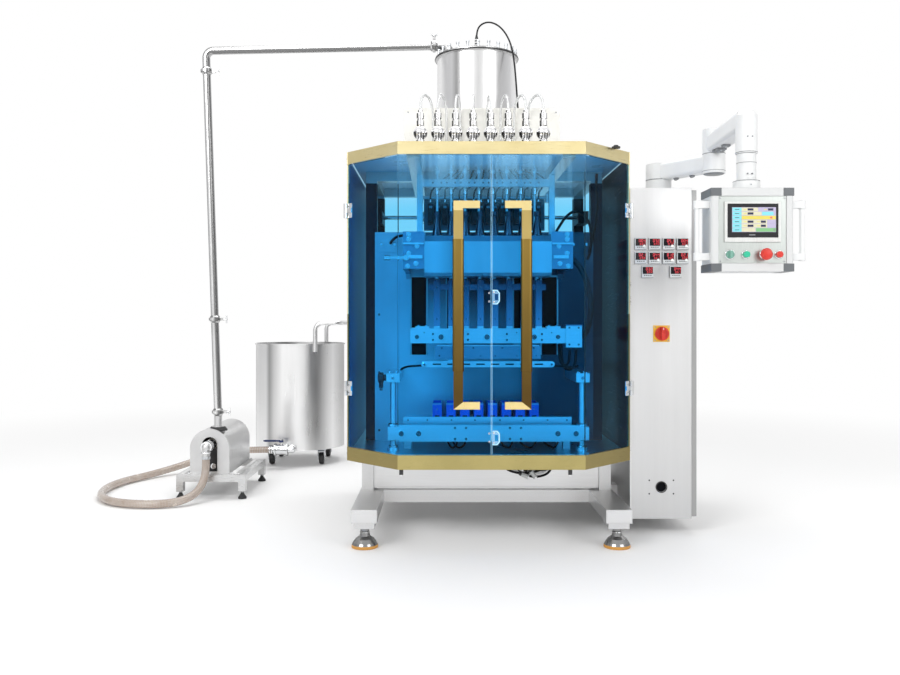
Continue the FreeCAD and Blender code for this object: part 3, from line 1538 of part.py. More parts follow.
def build_tank():
    wall = s.tank_wall
    x, y = s.tank_x, s.tank_y
    tall = s.tank_top - s.tank_bottom
    radius = s.tank_radius
    rim = radius + s.tank_lip
    outline = [(0, 0), (radius, 0), (radius, tall - 8), (rim, tall - 8), (rim, tall),
               (radius - wall, tall), (radius - wall, wall), (0, wall)]
    shell = revolved(x, y, s.tank_bottom, outline)
    place_x = x + s.tank_handle_place
    across = root_of(radius * radius - s.tank_handle_place * s.tank_handle_place) + s.tank_handle_radius - 3
    top = s.tank_handle_height
    foot = s.tank_handle_foot
    points = [(place_x, y - across, foot), (place_x, y - across, top),
              (x + s.tank_handle_reach, y - across, top), (x + s.tank_handle_reach, y + across, top),
              (place_x, y + across, top), (place_x, y + across, foot)]
    grip = tube_part("PushHandle", points, s.tank_handle_radius, 45)
    inside = rod(x, y, s.tank_bottom + wall, radius - wall, tall)
    node("tank", fused(shell, cut(grip, inside)))


valve_end = s.tank_x - 116


def build_valve():
    y = s.valve_y
    z = s.valve_height
    x = s.tank_x
    stub_start = y
    wall_y = s.tank_y - s.tank_radius
    stub = rod(x, stub_start, z, s.pipe_radius, wall_y - stub_start, "Y")
    elbow = ball(x, y, z, s.pipe_radius)
    run = rod(valve_end, y, z, s.pipe_radius, x - valve_end, "X")
    middle = x - 61
    start = middle - s.valve_body_length / 2
    body = rod(start, y, z, s.valve_radius, s.valve_body_length, "X")
    rings = []
    for ring_x in (start - s.valve_ring + 2, start + s.valve_body_length - 2):
        rings.append(rod(ring_x, y, z, s.valve_radius + 5, s.valve_ring, "X"))
    neck = rod(middle, y, z, 10, s.valve_radius + 12)
    node("tank_valve", fused(stub, elbow, run, body, neck, *rings))
    top = z + s.valve_radius + 12.4
    hub = rod(middle, y, top, 13, 14)
    arm = extruded([(0, 11), (-20, 11), (-40, 8), (8 - s.lever_arm, 8), (-s.lever_arm, 0),
                    (8 - s.lever_arm, -8), (-40, -8), (-20, -11), (0, -11)], 0, 8)
    node("valve_lever", fused(hub, place(arm, middle, y, top + 5)))


def wheel_outline():
    """Half of a wheel's section: bore, hub, sunk side and crowned tread."""
    half = s.wheel_width / 2
    bore = s.axle_radius + s.axle_clearance
    rim = s.wheel_radius
    right = [(bore, half), (12, half), (14, half - 4), (rim - 11, half - 4), (rim - 9, half - 1),
             (rim - 4, half - 1), (rim - 1, half - 5), (rim, half - 9)]
    return right + [(radius, -along) for radius, along in reversed(right)]


def build_casters():
    number = 0
    for side_x in (-1, 1):
        for side_y in (-1, 1):
            number += 1
            x = s.tank_x + side_x * s.caster_place
            y = s.tank_y + side_y * s.caster_place
            axle_y = y + s.caster_trail
            half = s.wheel_width / 2
            top = s.tank_bottom
            crown = s.wheel_radius * 2 + 4
            bearing = rod(x, y, crown + 4, 17, top - crown - 4.5)
            bridge = plate(x, y - 20, crown, s.wheel_width + 12, 62, 5)
            cheeks = []
            for side in (-1, 1):
                cheek_x = x + side * (half + 4) - 1.5
                up = crown - s.wheel_radius + 2
                cheeks.append(side_plate(cheek_x, axle_y, s.wheel_radius, 3,
                                         [(-9, -11), (9, -11), (13, -5), (17, up), (-42, up), (-13, -4)]))
            axle = rod(x - half - 5, axle_y, s.wheel_radius, s.axle_radius, s.wheel_width + 10, "X")
            node("caster_fork_%d" % number, fused(bearing, bridge, axle, *cheeks))
            wheel = sideways(revolved(0, 0, 0, wheel_outline()))
            node("caster_wheel_%d" % number, place(wheel, x, axle_y, s.wheel_radius))


def build_cords():
    hose = tube_part("SuctionHose", HOSE_ROUTE, s.hose_radius)
    node("suction_hose", hose)
    cable = tube_part("SensorCable", SENSOR_ROUTE, s.sensor_cable_radius)
    node("sensor_cable", cable)


build_machine_frame()
build_feet()
build_sheets()
build_guard_frame()
build_doors()
build_hinge_leaves()
build_work_panel()
build_guides()
build_forming_block()
build_clamp_lever()
build_seal_bar()
build_cutter_bar()
build_carriage()
build_chutes()
build_film()
build_cabinet()
build_cabinet_door()
build_cabinet_equipment()
build_main_switch()
build_arm()
build_panel()
build_hopper()
build_filling()
build_pump()
build_feed_pipe()
build_tank()
build_valve()
build_casters()
build_cords()
doc.recompute()

for thing in doc.Objects:
    if "Invalid" in thing.State or "Error" in thing.State:
        raise RuntimeError("%s did not build" % thing.Label)
for part in NODES:
    if part.Shape.isNull() or not part.Shape.isValid():
        raise RuntimeError("%s has no sound shape" % part.Label)

os.makedirs("parts", exist_ok=True)
for part in NODES:
    part.Shape.exportStep("parts/%s.step" % part.Label)
print(len(NODES), "nodes")
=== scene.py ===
import math
from itertools import product

import bmesh
import bpy
from mathutils import Matrix, Vector


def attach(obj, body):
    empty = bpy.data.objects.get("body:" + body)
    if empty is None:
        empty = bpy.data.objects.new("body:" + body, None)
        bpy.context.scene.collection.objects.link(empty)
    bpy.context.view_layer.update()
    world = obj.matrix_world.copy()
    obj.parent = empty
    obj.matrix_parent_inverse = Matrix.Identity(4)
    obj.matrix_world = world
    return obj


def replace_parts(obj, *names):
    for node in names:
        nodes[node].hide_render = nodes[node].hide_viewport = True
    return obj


# The looks of the stick pack line. Lengths are in millimetres from the machine's middle plane, the front
# of its doors and the floor, as in the part's source; at() turns them into metres in the shared frame.

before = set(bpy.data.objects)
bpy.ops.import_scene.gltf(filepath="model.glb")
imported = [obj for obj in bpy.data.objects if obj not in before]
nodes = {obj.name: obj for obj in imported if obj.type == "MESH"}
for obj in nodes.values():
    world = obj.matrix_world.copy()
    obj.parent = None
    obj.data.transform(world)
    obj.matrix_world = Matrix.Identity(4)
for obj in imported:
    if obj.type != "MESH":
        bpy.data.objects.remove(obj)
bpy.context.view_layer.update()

FRAME_SHIFT = Vector((210.5, -995.3, 0))
SCALE = 0.001
SIDES = (-1, 1)
FRONT, BACK, UP, DOWN, LEFT, RIGHT = (0, -1, 0), (0, 1, 0), (0, 0, 1), (0, 0, -1), (-1, 0, 0), (1, 0, 0)

# Places that several pieces share
LANES = [number - 3.5 for number in range(8)]
LANE_PITCH = 60
LANE_XS = [lane * LANE_PITCH for lane in LANES]
DOOR_BOTTOM, DOOR_TOP = 363, 1506
HINGE_LOWS = (570, 1290)
CATCH_LOWS = (400, 935)
POST_X, POST_Y = 390, 290
ROOF_TOP = 1547
CABINET_X = 709
ARM_X, ARM_Y = 728, 367
ELBOW_X, ELBOW_Y = 890, 137
PANEL_X, PANEL_Y, PANEL_Z = 876, -270, 1186.5
HOPPER_X, HOPPER_Y = -20, 930
PUMP_X, PUMP_Z = -1331, 258
PIPE_Y = 1010
TANK_X, TANK_Y = -1068, 2080
DRAIN_Y, DRAIN_Z = 1765, 116


def at(x=0.0, y=0.0, z=0.0):
    return (Vector((x, y, z)) + FRAME_SHIFT) * SCALE


def spots(xs, ys, zs):
    """All places with these distances; a bare number is a list of one."""
    return list(product(*([part] if isinstance(part, (int, float)) else part for part in (xs, ys, zs))))


def pair(distance, middle=0):
    """The two places at a distance from the middle."""
    return middle - distance, middle + distance


def circle(radius, count, start=0):
    """Pairs of distances along two axes, for places spread evenly round a circle."""
    turns = [math.radians(start + number * 360 / count) for number in range(count)]
    return [(radius * math.cos(turn), radius * math.sin(turn)) for turn in turns]


# Shader nodes

def triple(value):
    """Three parts; a bare number stands for all of them."""
    return tuple(value) if isinstance(value, (tuple, list)) else (value,) * 3


class Graph:
    """The shader nodes of one tree."""

    def __init__(self, owner):
        owner.use_nodes = True
        self.tree = owner.node_tree

    def fill(self, socket, value):
        if isinstance(value, bpy.types.NodeSocket):
            self.tree.links.new(value, socket)
        else:
            socket.default_value = value

    def node(self, kind, inputs=(), **settings):
        """The outputs of a new node, whose inputs are given as values or as links."""
        made = self.tree.nodes.new("ShaderNode" + kind)
        for key, value in settings.items():
            setattr(made, key, value)
        for key, value in dict(inputs).items():
            self.fill(made.inputs[key], value)
        return made.outputs

    def math(self, operation, first, second=0.0):
        return self.node("Math", {0: first, 1: second}, operation=operation)[0]

    def times(self, first, second):
        return self.math("MULTIPLY", first, second)

    def minus(self, first, second):
        return self.math("SUBTRACT", first, second)

    def share_of(self, share, first, second):
        """A share of one value and the rest of another."""
        return self.math("ADD", self.times(first, share), self.times(second, 1 - share))

    def ramp(self, value, stops):
        made = self.node("ValToRGB", {0: value})[0]
        elements = made.node.color_ramp.elements
        elements[0].position, elements[1].position = 0.0, 1.0
        while len(elements) < len(stops):
            elements.new(0.5)
        for element, (position, colour) in zip(elements, stops):
            element.position = position
            element.color = (*triple(colour), 1)
        return made

    def blend(self, share, first, second):
        return self.node("MixShader", {0: share, 1: first, 2: second})[0]

    def seen_plainly(self):
        """One for rays of the camera, also through clear sheets."""
        rays = self.node("LightPath")
        return self.math("MAXIMUM", rays["Is Camera Ray"], rays["Is Transmission Ray"])


class Finish(Graph):
    """A Principled material whose colour, gloss and relief come from procedural nodes."""

    def __init__(self, name, colour, roughness, metallic=0.0, **values):
        self.material = bpy.data.materials.new(name)
        super().__init__(self.material)
        self.shader = self.tree.nodes["Principled BSDF"]
        self.colour = triple(colour)
        self.roughness = roughness
        self.set(Base_Color=(*self.colour, 1), Roughness=roughness, Metallic=metallic, **values)
        FINISHES[name] = self

    def set(self, **values):
        """Give inputs of the shader values or links; _ stands for each space in their names."""
        for key, value in values.items():
            self.fill(self.shader.inputs[key.replace("_", " ")], value)
        return self

    def cover(self, share, other):
        """Show a share of another shader in place of this one."""
        surface = self.tree.nodes["Material Output"].inputs["Surface"]
        self.fill(surface, self.blend(share, self.shader.outputs[0], other))

    def noise(self, size, detail=2.0):
        """Grey noise whose grains are about size millimetres along x, y and z."""
        stretch = self.node("Mapping", {"Vector": self.node("TexCoord")["Object"],
                                        "Scale": [1000.0 / part for part in triple(size)]})
        return self.node("TexNoise", {"Vector": stretch[0], "Scale": 1.0, "Detail": detail})["Fac"]

    def level(self, value, low, high, start=0.3, end=0.7):
        """A value between start and end, drawn out to run from low to high."""
        return self.node("MapRange", {"Value": value, "From Min": start, "From Max": end,
                                      "To Min": low, "To Max": high})[0]

    def mix(self, share, first, second):
        first, second = (part if isinstance(part, bpy.types.NodeSocket) else (*triple(part), 1)
                         for part in (first, second))
        return self.node("Mix", {0: share, 6: first, 7: second}, data_type="RGBA")[2]

    def vary(self, pattern, first, second):
        return self.mix(self.level(pattern, 0.0, 1.0), first, second)

    def dim(self, colour, share):
        return self.node("VectorMath", {0: colour, "Scale": share}, operation="SCALE")[0]

    def base(self, colour):
        self.shown = colour
        return self.set(Base_Color=colour)

    def tint(self, pattern, spread):
        """Let the colour run from darker to lighter by a share with a grey pattern."""
        return self.base(self.vary(pattern, [part * (1 - spread) for part in self.colour],
                                   [min(1, part * (1 + spread)) for part in self.colour]))

    def gloss(self, pattern, spread):
        low = max(0.02, self.roughness - spread)
        return self.set(Roughness=self.level(pattern, low, self.roughness + spread))

    def relief(self, pattern, depth, strength=0.4, edge=0.0):
        """A bump of so many millimetres, over edges that are rounded by edge millimetres."""
        inputs = {"Height": pattern, "Distance": depth * SCALE, "Strength": strength}
        if edge:
            inputs["Normal"] = self.node("Bevel", {"Radius": edge * SCALE}, samples=4)[0]
        return self.set(Normal=self.node("Bump", inputs)[0])

    def skin(self, pattern, spread, strength=0.25, edge=1.2, depth=0.05):
        """One pattern for gloss and relief."""
        return self.gloss(pattern, spread).relief(pattern, depth, strength, edge)

    def rim(self, start=0.45, end=0.8):
        """Zero on faces that look at the eye, and one where the surface turns away."""
        return self.level(self.node("LayerWeight", {"Blend": 0.5})["Facing"], 0.0, 1.0, start, end)

    def facing(self, axis):
        """How far the surface looks along an axis, from -1 to 1."""
        return self.node("SeparateXYZ", {0: self.node("NewGeometry")["Normal"]})[axis]

    def bands(self, facing, stops):
        """Grey bands that follow the surface's direction, for painted reflections."""
        return self.ramp(self.level(facing, 0.0, 1.0, -1, 1), stops)

    def place(self, axis):
        return self.node("SeparateXYZ", {0: self.node("TexCoord")["Object"]})[axis]

    def off(self, axis, middle):
        """The distance from a place along an axis."""
        return self.math("ABSOLUTE", self.minus(self.place(axis), middle))

    def off_middle(self):
        return self.off("X", at().x)

    def over(self, axis, limit):
        """One above a height, or past a place along x or y, and zero below it."""
        return self.math("GREATER_THAN", self.place(axis), limit)

    def between(self, low, high):
        """One between two heights."""
        return self.times(self.over("Z", low), self.minus(1.0, self.over("Z", high)))


# Camera, room and light

def build_camera():
    data = bpy.data.cameras.new("camera")
    data.sensor_width = 36
    data.lens = 34.64
    data.shift_x = 0.0089
    data.shift_y = -0.0206
    camera = bpy.data.objects.new("camera", data)
    camera.location = at(-189, -3300, 880)
    camera.rotation_euler = (math.radians(90), 0, 0)
    bpy.context.scene.collection.objects.link(camera)
    bpy.context.scene.camera = camera


def build_world():
    """White to the camera and in reflections, and a plain soft level for everything else."""
    world = bpy.data.worlds.new("room")
    bpy.context.scene.world = world
    room = Graph(world)
    soft = room.tree.nodes["Background"]
    soft.inputs["Color"].default_value = (1, 1, 1, 1)
    soft.inputs["Strength"].default_value = 0.6
    sideways = room.math("ABSOLUTE", room.node("SeparateXYZ", {0: room.node("TexCoord")["Generated"]})["X"])
    walls = room.ramp(sideways, ((0.72, 0.93), (0.93, (0.60, 0.60, 0.61))))
    mirrored = room.node("Background", {"Color": walls})[0]
    white = room.node("Background", {"Color": (1, 1, 1, 1)})[0]
    lit = room.blend(room.node("LightPath")["Is Glossy Ray"], soft.outputs[0], mirrored)
    shown = room.blend(room.seen_plainly(), lit, white)
    room.fill(room.tree.nodes["World Output"].inputs["Surface"], shown)


def build_lamp(name, place, target, size, power):
    data = bpy.data.lights.new(name, "AREA")
    data.shape = "RECTANGLE"
    data.size, data.size_y = size
    data.energy = power
    lamp = bpy.data.objects.new(name, data)
    lamp.location = place
    lamp.rotation_euler = (Vector(target) - Vector(place)).to_track_quat("-Z", "Y").to_euler()
    bpy.context.scene.collection.objects.link(lamp)


def build_floor():
    """A pale floor that keeps the shadow and fades into the white of the room."""
    mesh = bpy.data.meshes.new("floor")
    form = bmesh.new()
    bmesh.ops.create_grid(form, x_segments=1, y_segments=1, size=40)
    form.to_mesh(mesh)
    form.free()
    floor = bpy.data.objects.new("floor", mesh)
    floor.location.z = -0.0005
    bpy.context.scene.collection.objects.link(floor)
    paint = Finish("floor_paint", 0.96, 0.6, Specular_IOR_Level=0.2)
    away = paint.node("VectorMath", {0: paint.node("TexCoord")["Object"]}, operation="LENGTH")["Value"]
    fade = paint.node("MapRange", {"Value": away, "From Min": 1.6, "From Max": 5.5},
                      interpolation_type="SMOOTHSTEP")[0]
    paint.cover(paint.times(paint.seen_plainly(), fade), paint.node("Emission")[0])
    mesh.materials.append(paint.material)


# Plain finishes

FINISHES = {}


def brushed(name, colour, roughness, grain, spread=0.05, edge=1.2, depth=0.05, floor_shade_share=1.0):
    """Stainless sheet: fine scratches along one direction, broad streaks and faint smudges."""
    look = Finish(name, colour, roughness, 1.0)
    fine = look.noise(grain, 3.0)
    scratches = look.share_of(0.45, fine, look.noise([part * 14 for part in grain]))
    look.tint(scratches, spread)
    # Painted shade: a share below one darkens the colour towards the bottom.
    if floor_shade_share < 1:
        look.base(look.dim(look.shown, look.level(look.place("Z"), floor_shade_share, 1.06, 0.1, 1.3)))
    look.gloss(look.share_of(0.6, scratches, look.noise(260, 3.0)), 0.09)
    return look.relief(fine, depth, 0.25, edge)


def coated(name, colour, roughness, grain=1.2, depth=0.08, edge=1.0, spread=0.03, **values):
    """Paint or moulded plastic: a fine skin, a slight change of colour and of gloss."""
    look = Finish(name, colour, roughness, **values)
    cloud = look.noise(90, 3.0)
    look.tint(cloud, spread).gloss(cloud, min(0.08, roughness * 0.4))
    return look.relief(look.noise(grain), depth, 0.3, edge)


def polished(name, colour, roughness, painted_rim_share):
    """Bright metal with a painted reflection: its colour darkens where its surface turns away, as if it
    mirrored a darker room.
    """
    look = Finish(name, colour, roughness, 1.0)
    smudge = look.noise(40, 4.0)
    # Painted reflection: the darker colour of the rim.
    dark = [part * painted_rim_share for part in look.colour]
    pale = [min(1, part * 1.04) for part in look.colour]
    look.base(look.mix(look.rim(), look.vary(smudge, look.colour, pale), dark))
    return look.gloss(smudge, roughness * 0.5).relief(look.noise(60), 0.1, 0.1, 0.8)


def glowing(name, colour, strength):
    """A lit field behind glass, with its fine dots."""
    look = Finish(name, colour, 0.25, Emission_Color=(*colour, 1), Emission_Strength=strength)
    return look.tint(look.noise(0.8, 1.0), 0.05)


STEEL_GREY = (0.80, 0.82, 0.84)
WORKS_GRAIN = (40, 3, 3)

# The cabinet's steel carries painted shade that darkens its lower part.
brushed("cabinet_steel", 0.78, 0.36, (2, 2, 110), 0.03, 2.0, floor_shade_share=0.78)
# Painted shade: the cabinet's side door is a darker copy of the cabinet's steel.
brushed("shaded_door_steel", 0.38, 0.38, (2, 2, 110), 0.03, 2.0)
brushed("sheet_steel", 0.74, 0.32, (90, 90, 2.5))
brushed("works_steel", STEEL_GREY, 0.38, WORKS_GRAIN)
brushed("shelf_steel", (0.70, 0.72, 0.75), 0.36, (30, 3, 3))
brushed("zinc", (0.60, 0.62, 0.64), 0.34, (6, 6, 20))
polished("chrome", (0.86, 0.87, 0.88), 0.10, 0.12)
polished("foot_steel", 0.30, 0.16, 0.2)
polished("dark_steel", (0.20, 0.21, 0.23), 0.35, 0.35)
coated("white_paint", (0.80, 0.81, 0.81), 0.40, 1.4, 0.1, 2.0)
coated("cream_paint", (0.46, 0.42, 0.36), 0.42, 2.0, 0.15, 1.5)
coated("mid_grey", (0.52, 0.54, 0.54), 0.42, depth=0.15)
coated("grey_plastic", (0.24, 0.25, 0.26), 0.45, depth=0.2, edge=1.5)
coated("dark_plastic", (0.028, 0.028, 0.03), 0.38, 1.0, 0.1, 0.8)
coated("light_plastic", (0.62, 0.64, 0.64), 0.4, 1.0, 0.1, 0.6)
coated("milk_plastic", (0.96, 0.95, 0.90), 0.3, 8.0, 0.2, 0.8, 0.02)
coated("black_rubber", (0.022, 0.022, 0.023), 0.62, 1.6, 0.3, 0.8, 0.1)
coated("amber_rubber", (0.62, 0.30, 0.06), 0.5, 1.6, 0.2, 0.8, 0.06)
coated("yellow_plate", (0.86, 0.50, 0.04), 0.36, edge=0.8)
coated("red_plastic", (0.66, 0.035, 0.022), 0.28, edge=1.2)
coated("green_plastic", (0.03, 0.50, 0.30), 0.28)
coated("pale_green", (0.20, 0.42, 0.34), 0.32)
coated("blue_lever", (0.02, 0.035, 0.12), 0.36, 1.4, 0.15)
coated("chute_lip", (0.30, 0.50, 0.80), 0.3, edge=0.0)
coated("black_glass", (0.012, 0.012, 0.015), 0.08, 60.0, 0.02, 0.0)
coated("cable_skin", (0.008, 0.008, 0.009), 0.5, 2.0, 0.1, 0.0, 0.1, Specular_IOR_Level=0.2)
# Painted shade: near black for the depth of slots, holes and the cable inlet.
coated("hollow_shade", (0.004, 0.004, 0.006), 0.8, 1.4, 0.1, 0.5, Specular_IOR_Level=0.1)
# Painted highlight: a glowing blue for the lit edges of the doors and the rims of their catches.
glowing("painted_edge_glow", (0.45, 0.80, 1.0), 0.25)
glowing("cyan_field", (0.20, 0.62, 0.68), 0.18)
glowing("cream_field", (0.62, 0.60, 0.42), 0.16)
glowing("lilac_field", (0.44, 0.40, 0.56), 0.16)
glowing("yellow_field", (0.66, 0.56, 0.10), 0.16)
glowing("green_field", (0.20, 0.46, 0.20), 0.14)
glowing("navy_field", (0.015, 0.015, 0.06), 0.1)
glowing("red_digits", (0.90, 0.08, 0.10), 0.9)
glowing("red_lamp", (0.70, 0.02, 0.03), 0.5)


# Finishes that follow the form of one node, with heights and distances in metres

def band_gold():
    """Champagne gold, brushed along the bands; the lower band lies in the shade of the upper one."""
    facet_start, mid_height = 0.3585, 0.9
    look = Finish("gold", (0.88, 0.75, 0.40), 0.34, 1.0)
    cloud = look.noise(120, 3.0)
    high = look.vary(cloud, (0.84, 0.71, 0.37), (0.92, 0.80, 0.46))
    # Painted shade: the lower band is darker than the upper one, and darker still on its slanted facets.
    shaded_low_front = look.vary(cloud, (0.43, 0.36, 0.145), (0.49, 0.41, 0.17))
    on_facet = look.math("GREATER_THAN", look.off_middle(), facet_start)
    low = look.mix(on_facet, shaded_low_front, (0.31, 0.25, 0.10))
    look.base(look.mix(look.over("Z", mid_height), low, high))
    look.skin(look.noise((60, 60, 2.0), 3.0), 0.08, 0.2, 2.0)


def handle_gold():
    """Bright arms and ends, and a grip painted dark as a reflection, lighter towards its top, that meets the
    lower arm in a mitre; the upright above the grip is painted in shade.
    """
    arm_top, arm_end, mitre_slope, grip_top, upright_top = 0.541, 0.146, 0.78, 1.179, 1.287
    look = Finish("gold_handle", (0.74, 0.61, 0.28), 0.32, 1.0)
    pale = look.vary(look.noise(120, 3.0), (0.88, 0.71, 0.31), (0.98, 0.80, 0.38))
    height = look.place("Z")
    # Painted reflection: the grip is dark, and lighter towards its top.
    lit_above = look.level(height, 0.0, 1.0, 0.60, 1.15)
    grip_reflection = look.mix(lit_above, (0.125, 0.076, 0.022), (0.31, 0.205, 0.05))
    mitre = look.times(look.minus(arm_end, look.off_middle()), mitre_slope)
    past_mitre = look.math("GREATER_THAN", look.minus(height, arm_top), mitre)
    dark = look.times(past_mitre, look.minus(1.0, look.over("Z", grip_top)))
    # Painted shade on the upright between the grip and the upper arm.
    bright = look.mix(look.between(grip_top, upright_top), pale, (0.56, 0.42, 0.15))
    look.base(look.mix(dark, bright, grip_reflection))
    look.skin(look.noise((30, 30, 160)), 0.06, 0.15, 2.0, 0.03)


def tube_finish():
    """Clear tube, seen by a painted grey reflection on its turning edges."""
    look = Finish("clear_plastic", (0.95, 0.96, 0.96), 0.12, IOR=1.35, Transmission_Weight=0.5)
    look.base(look.mix(look.rim(0.25, 0.7), (0.96, 0.97, 0.97), (0.60, 0.61, 0.62)))
    look.gloss(look.noise(30), 0.04).relief(look.noise(8), 0.1, 0.2)


def panel_finish():
    """The coated sheet behind the works, painted light at its left and fading to the painted shade of its
    right side, with a painted shadow below the forming block.
    """
    block_half = 0.262
    look = Finish("pale_panel", (0.3, 0.4, 0.5), 0.36, 0.6)
    cloud = look.noise((340, 340, 520), 3.0)
    middle = look.math("LESS_THAN", look.off_middle(), block_half)
    # Painted shadow below the forming block.
    block_shadow = look.times(middle, look.level(look.place("Z"), 0.0, 0.55, 0.84, 1.06))
    # Painted light and shade: lighter to the left, darker to the right, with some random tone.
    side = look.math("ADD", look.level(look.place("X"), 0.0, 1.0, -0.26, 0.52),
                     look.level(cloud, -0.16, 0.16))
    look.base(look.mix(look.math("ADD", side, block_shadow), (0.90, 0.95, 1.0), (0.06, 0.08, 0.11)))
    look.gloss(cloud, 0.08).relief(look.noise(3), 0.1, 0.3)


def column_finish():
    """Bright sealing bar, whose columns fade into the shade of the forming block."""
    bar_top = 0.8505
    look = Finish("seal_steel", STEEL_GREY, 0.38, 1.0)
    fine = look.noise((40, 40, 3), 3.0)
    worn = look.vary(fine, (0.77, 0.79, 0.81), (0.84, 0.86, 0.88))
    shaded = look.mix(look.level(look.place("Z"), 0.0, 1.0, 0.86, 1.04),
                      (0.30, 0.36, 0.50), (0.06, 0.07, 0.11))
    look.base(look.mix(look.over("Z", bar_top), worn, shaded)).skin(fine, 0.07)


def guide_finish():
    """Bright guide frame, with darker, bluish-grey brackets beside the forming block."""
    bracket_start, bracket_bottom, bracket_top = 0.2615, 1.08, 1.245
    look = brushed("guide_steel", STEEL_GREY, 0.38, WORKS_GRAIN)
    beside = look.math("GREATER_THAN", look.off_middle(), bracket_start)
    bracket = look.times(beside, look.between(bracket_bottom, bracket_top))
    look.base(look.mix(bracket, look.shown, (0.32, 0.37, 0.46)))


def block_finish():
    """Bright forming block below dark forming shoulders."""
    shoulder_bottom = 1.2245
    look = Finish("block_steel", (0.72, 0.73, 0.77), 0.32, 1.0)
    fine = look.noise((70, 70, 900), 3.0)
    face = look.vary(fine, (0.66, 0.67, 0.71), (0.73, 0.74, 0.78))
    look.base(look.mix(look.over("Z", shoulder_bottom), face, (0.07, 0.08, 0.10))).skin(fine, 0.06)


def door_finish():
    """Blue acrylic sheet, painted paler near its top with streaks of painted glare of room light, and the
    bright catches in front of it.
    """
    front_half = 0.36
    look = Finish("blue_acrylic", (0.20, 0.64, 0.95), 0.02, IOR=1.14, Transmission_Weight=1.0)
    look.relief(look.noise((420, 420, 700)), 0.6, 0.12)
    rays = look.node("LightPath")
    lamps_light = look.math("MAXIMUM", rays["Is Shadow Ray"], rays["Is Diffuse Ray"])
    look.cover(lamps_light, look.node("BsdfTransparent", {"Color": (0.30, 0.76, 1.0, 1)})[0])
    sheet = look.over("Y", at(y=-0.4).y)
    # Painted light: the sheet's blue turns paler towards its top.
    rise = look.level(look.place("Z"), 0.0, 1.0, 1.30, 1.54)
    blue = look.mix(rise, (0.17, 0.64, 0.97), (0.52, 0.80, 0.97))
    look.base(look.mix(sheet, (0.26, 0.50, 0.76), blue))
    # Painted glare: streaks near the top of the front sheets let less light through, so that the paler blue
    # shows.
    streak = look.level(look.noise((45, 400, 2400)), 0.2, 1.0, 0.42, 0.60)
    front = look.math("LESS_THAN", look.off_middle(), front_half)
    painted_glare = look.times(look.times(rise, front), look.times(streak, 0.34))
    look.set(Metallic=look.minus(1.0, sheet), Transmission_Weight=look.minus(sheet, painted_glare),
             Specular_IOR_Level=0.3)


def box_finish():
    """The operator panel's white frame with dark caps over its corners."""
    white = (0.67, 0.68, 0.68)
    cap_start_across, cap_start_up = 0.1062, 0.1163
    look = coated("panel_frame", white, 0.38, 1.4, 0.1, 2.0)
    sideways = look.math("GREATER_THAN", look.off("X", at(x=PANEL_X).x), cap_start_across)
    upright = look.math("GREATER_THAN", look.off("Z", PANEL_Z * SCALE), cap_start_up)
    look.base(look.mix(look.times(sideways, upright), white, (0.13, 0.14, 0.15)))


def shelf_finish():
    """Brushed shelf; the chutes that stand on it are deep blue plastic."""
    shelf_top, chute_front = 0.4445, at(y=449.3).y
    look = Finish("shelf_and_chutes", (0.74, 0.78, 0.82), 0.36)
    chute = look.times(look.over("Z", shelf_top), look.over("Y", chute_front))
    fine = look.noise((30, 3, 3), 3.0)
    steel = look.vary(fine, (0.70, 0.74, 0.78), (0.78, 0.82, 0.86))
    look.base(look.mix(chute, steel, (0.05, 0.20, 0.82)))
    look.set(Metallic=look.level(chute, 0.9, 0.0, 0, 1)).skin(fine, 0.06)


def two_part(name, axis, limit, colours, roughs, metals, grain):
    """One node of two finishes, which meet at a plane."""
    look = Finish(name, colours[0], roughs[0])
    past = look.over(axis, limit)
    fine = look.noise(grain, 3.0)
    look.base(look.dim(look.mix(past, *colours), look.level(fine, 0.94, 1.06)))
    rough = look.math("ADD", look.level(past, *roughs, 0, 1), look.level(fine, -0.05, 0.05))
    look.set(Roughness=rough, Metallic=look.level(past, *metals, 0, 1)).relief(fine, 0.05, 0.25, 1.2)


def flat_colour_part(look, inside, painted):
    """Take the metal away where a steel node is given a flat colour, and the sheen where it lies in painted
    shade inside the machine.
    """
    look.set(Metallic=look.minus(1.0, painted), Specular_IOR_Level=look.level(inside, 0.5, 0.02, 0, 1))


def body_finish():
    """Brushed side sheets; the faces that look into the machine are coloured as painted shade, bluish and
    darker towards the right.
    """
    sheet_face, roof_face = 0.5725, 1.5405
    look = Finish("body_steel", 0.76, 0.34, 1.0)
    inward = look.math("LESS_THAN", look.off_middle(), sheet_face)
    inside = look.times(inward, look.math("LESS_THAN", look.place("Z"), roof_face))
    fine = look.noise((90, 90, 2.5), 3.0)
    ceiling = look.between(roof_face, roof_face + 0.001)
    steel = look.mix(ceiling, look.vary(fine, 0.72, 0.78), (0.86, 0.88, 0.94))
    # Painted shade: the inner faces are dark and bluish, and darker towards the right.
    rightward = look.level(look.place("X"), 0.0, 1.0, -0.3, 0.7)
    look.base(look.mix(inside, steel, look.mix(rightward, (0.11, 0.20, 0.36), (0.009, 0.013, 0.022))))
    flat_colour_part(look, inside, look.math("MAXIMUM", inside, ceiling))
    look.skin(fine, 0.08)


def frame_finish():
    """Brushed tubes below the deck and at the roof; the posts between them are coloured near black as painted
    shade.
    """
    post_bottom, post_top = 0.3348, 1.4905
    look = Finish("frame_steel_post_shade", 0.66, 0.36)
    post = look.between(post_bottom, post_top)
    fine = look.noise((3, 60, 3), 3.0)
    # Painted shade on the posts inside the guard.
    look.base(look.mix(post, look.vary(fine, 0.66, 0.73), (0.03, 0.04, 0.055)))
    flat_colour_part(look, post, post)
    look.skin(fine, 0.08)


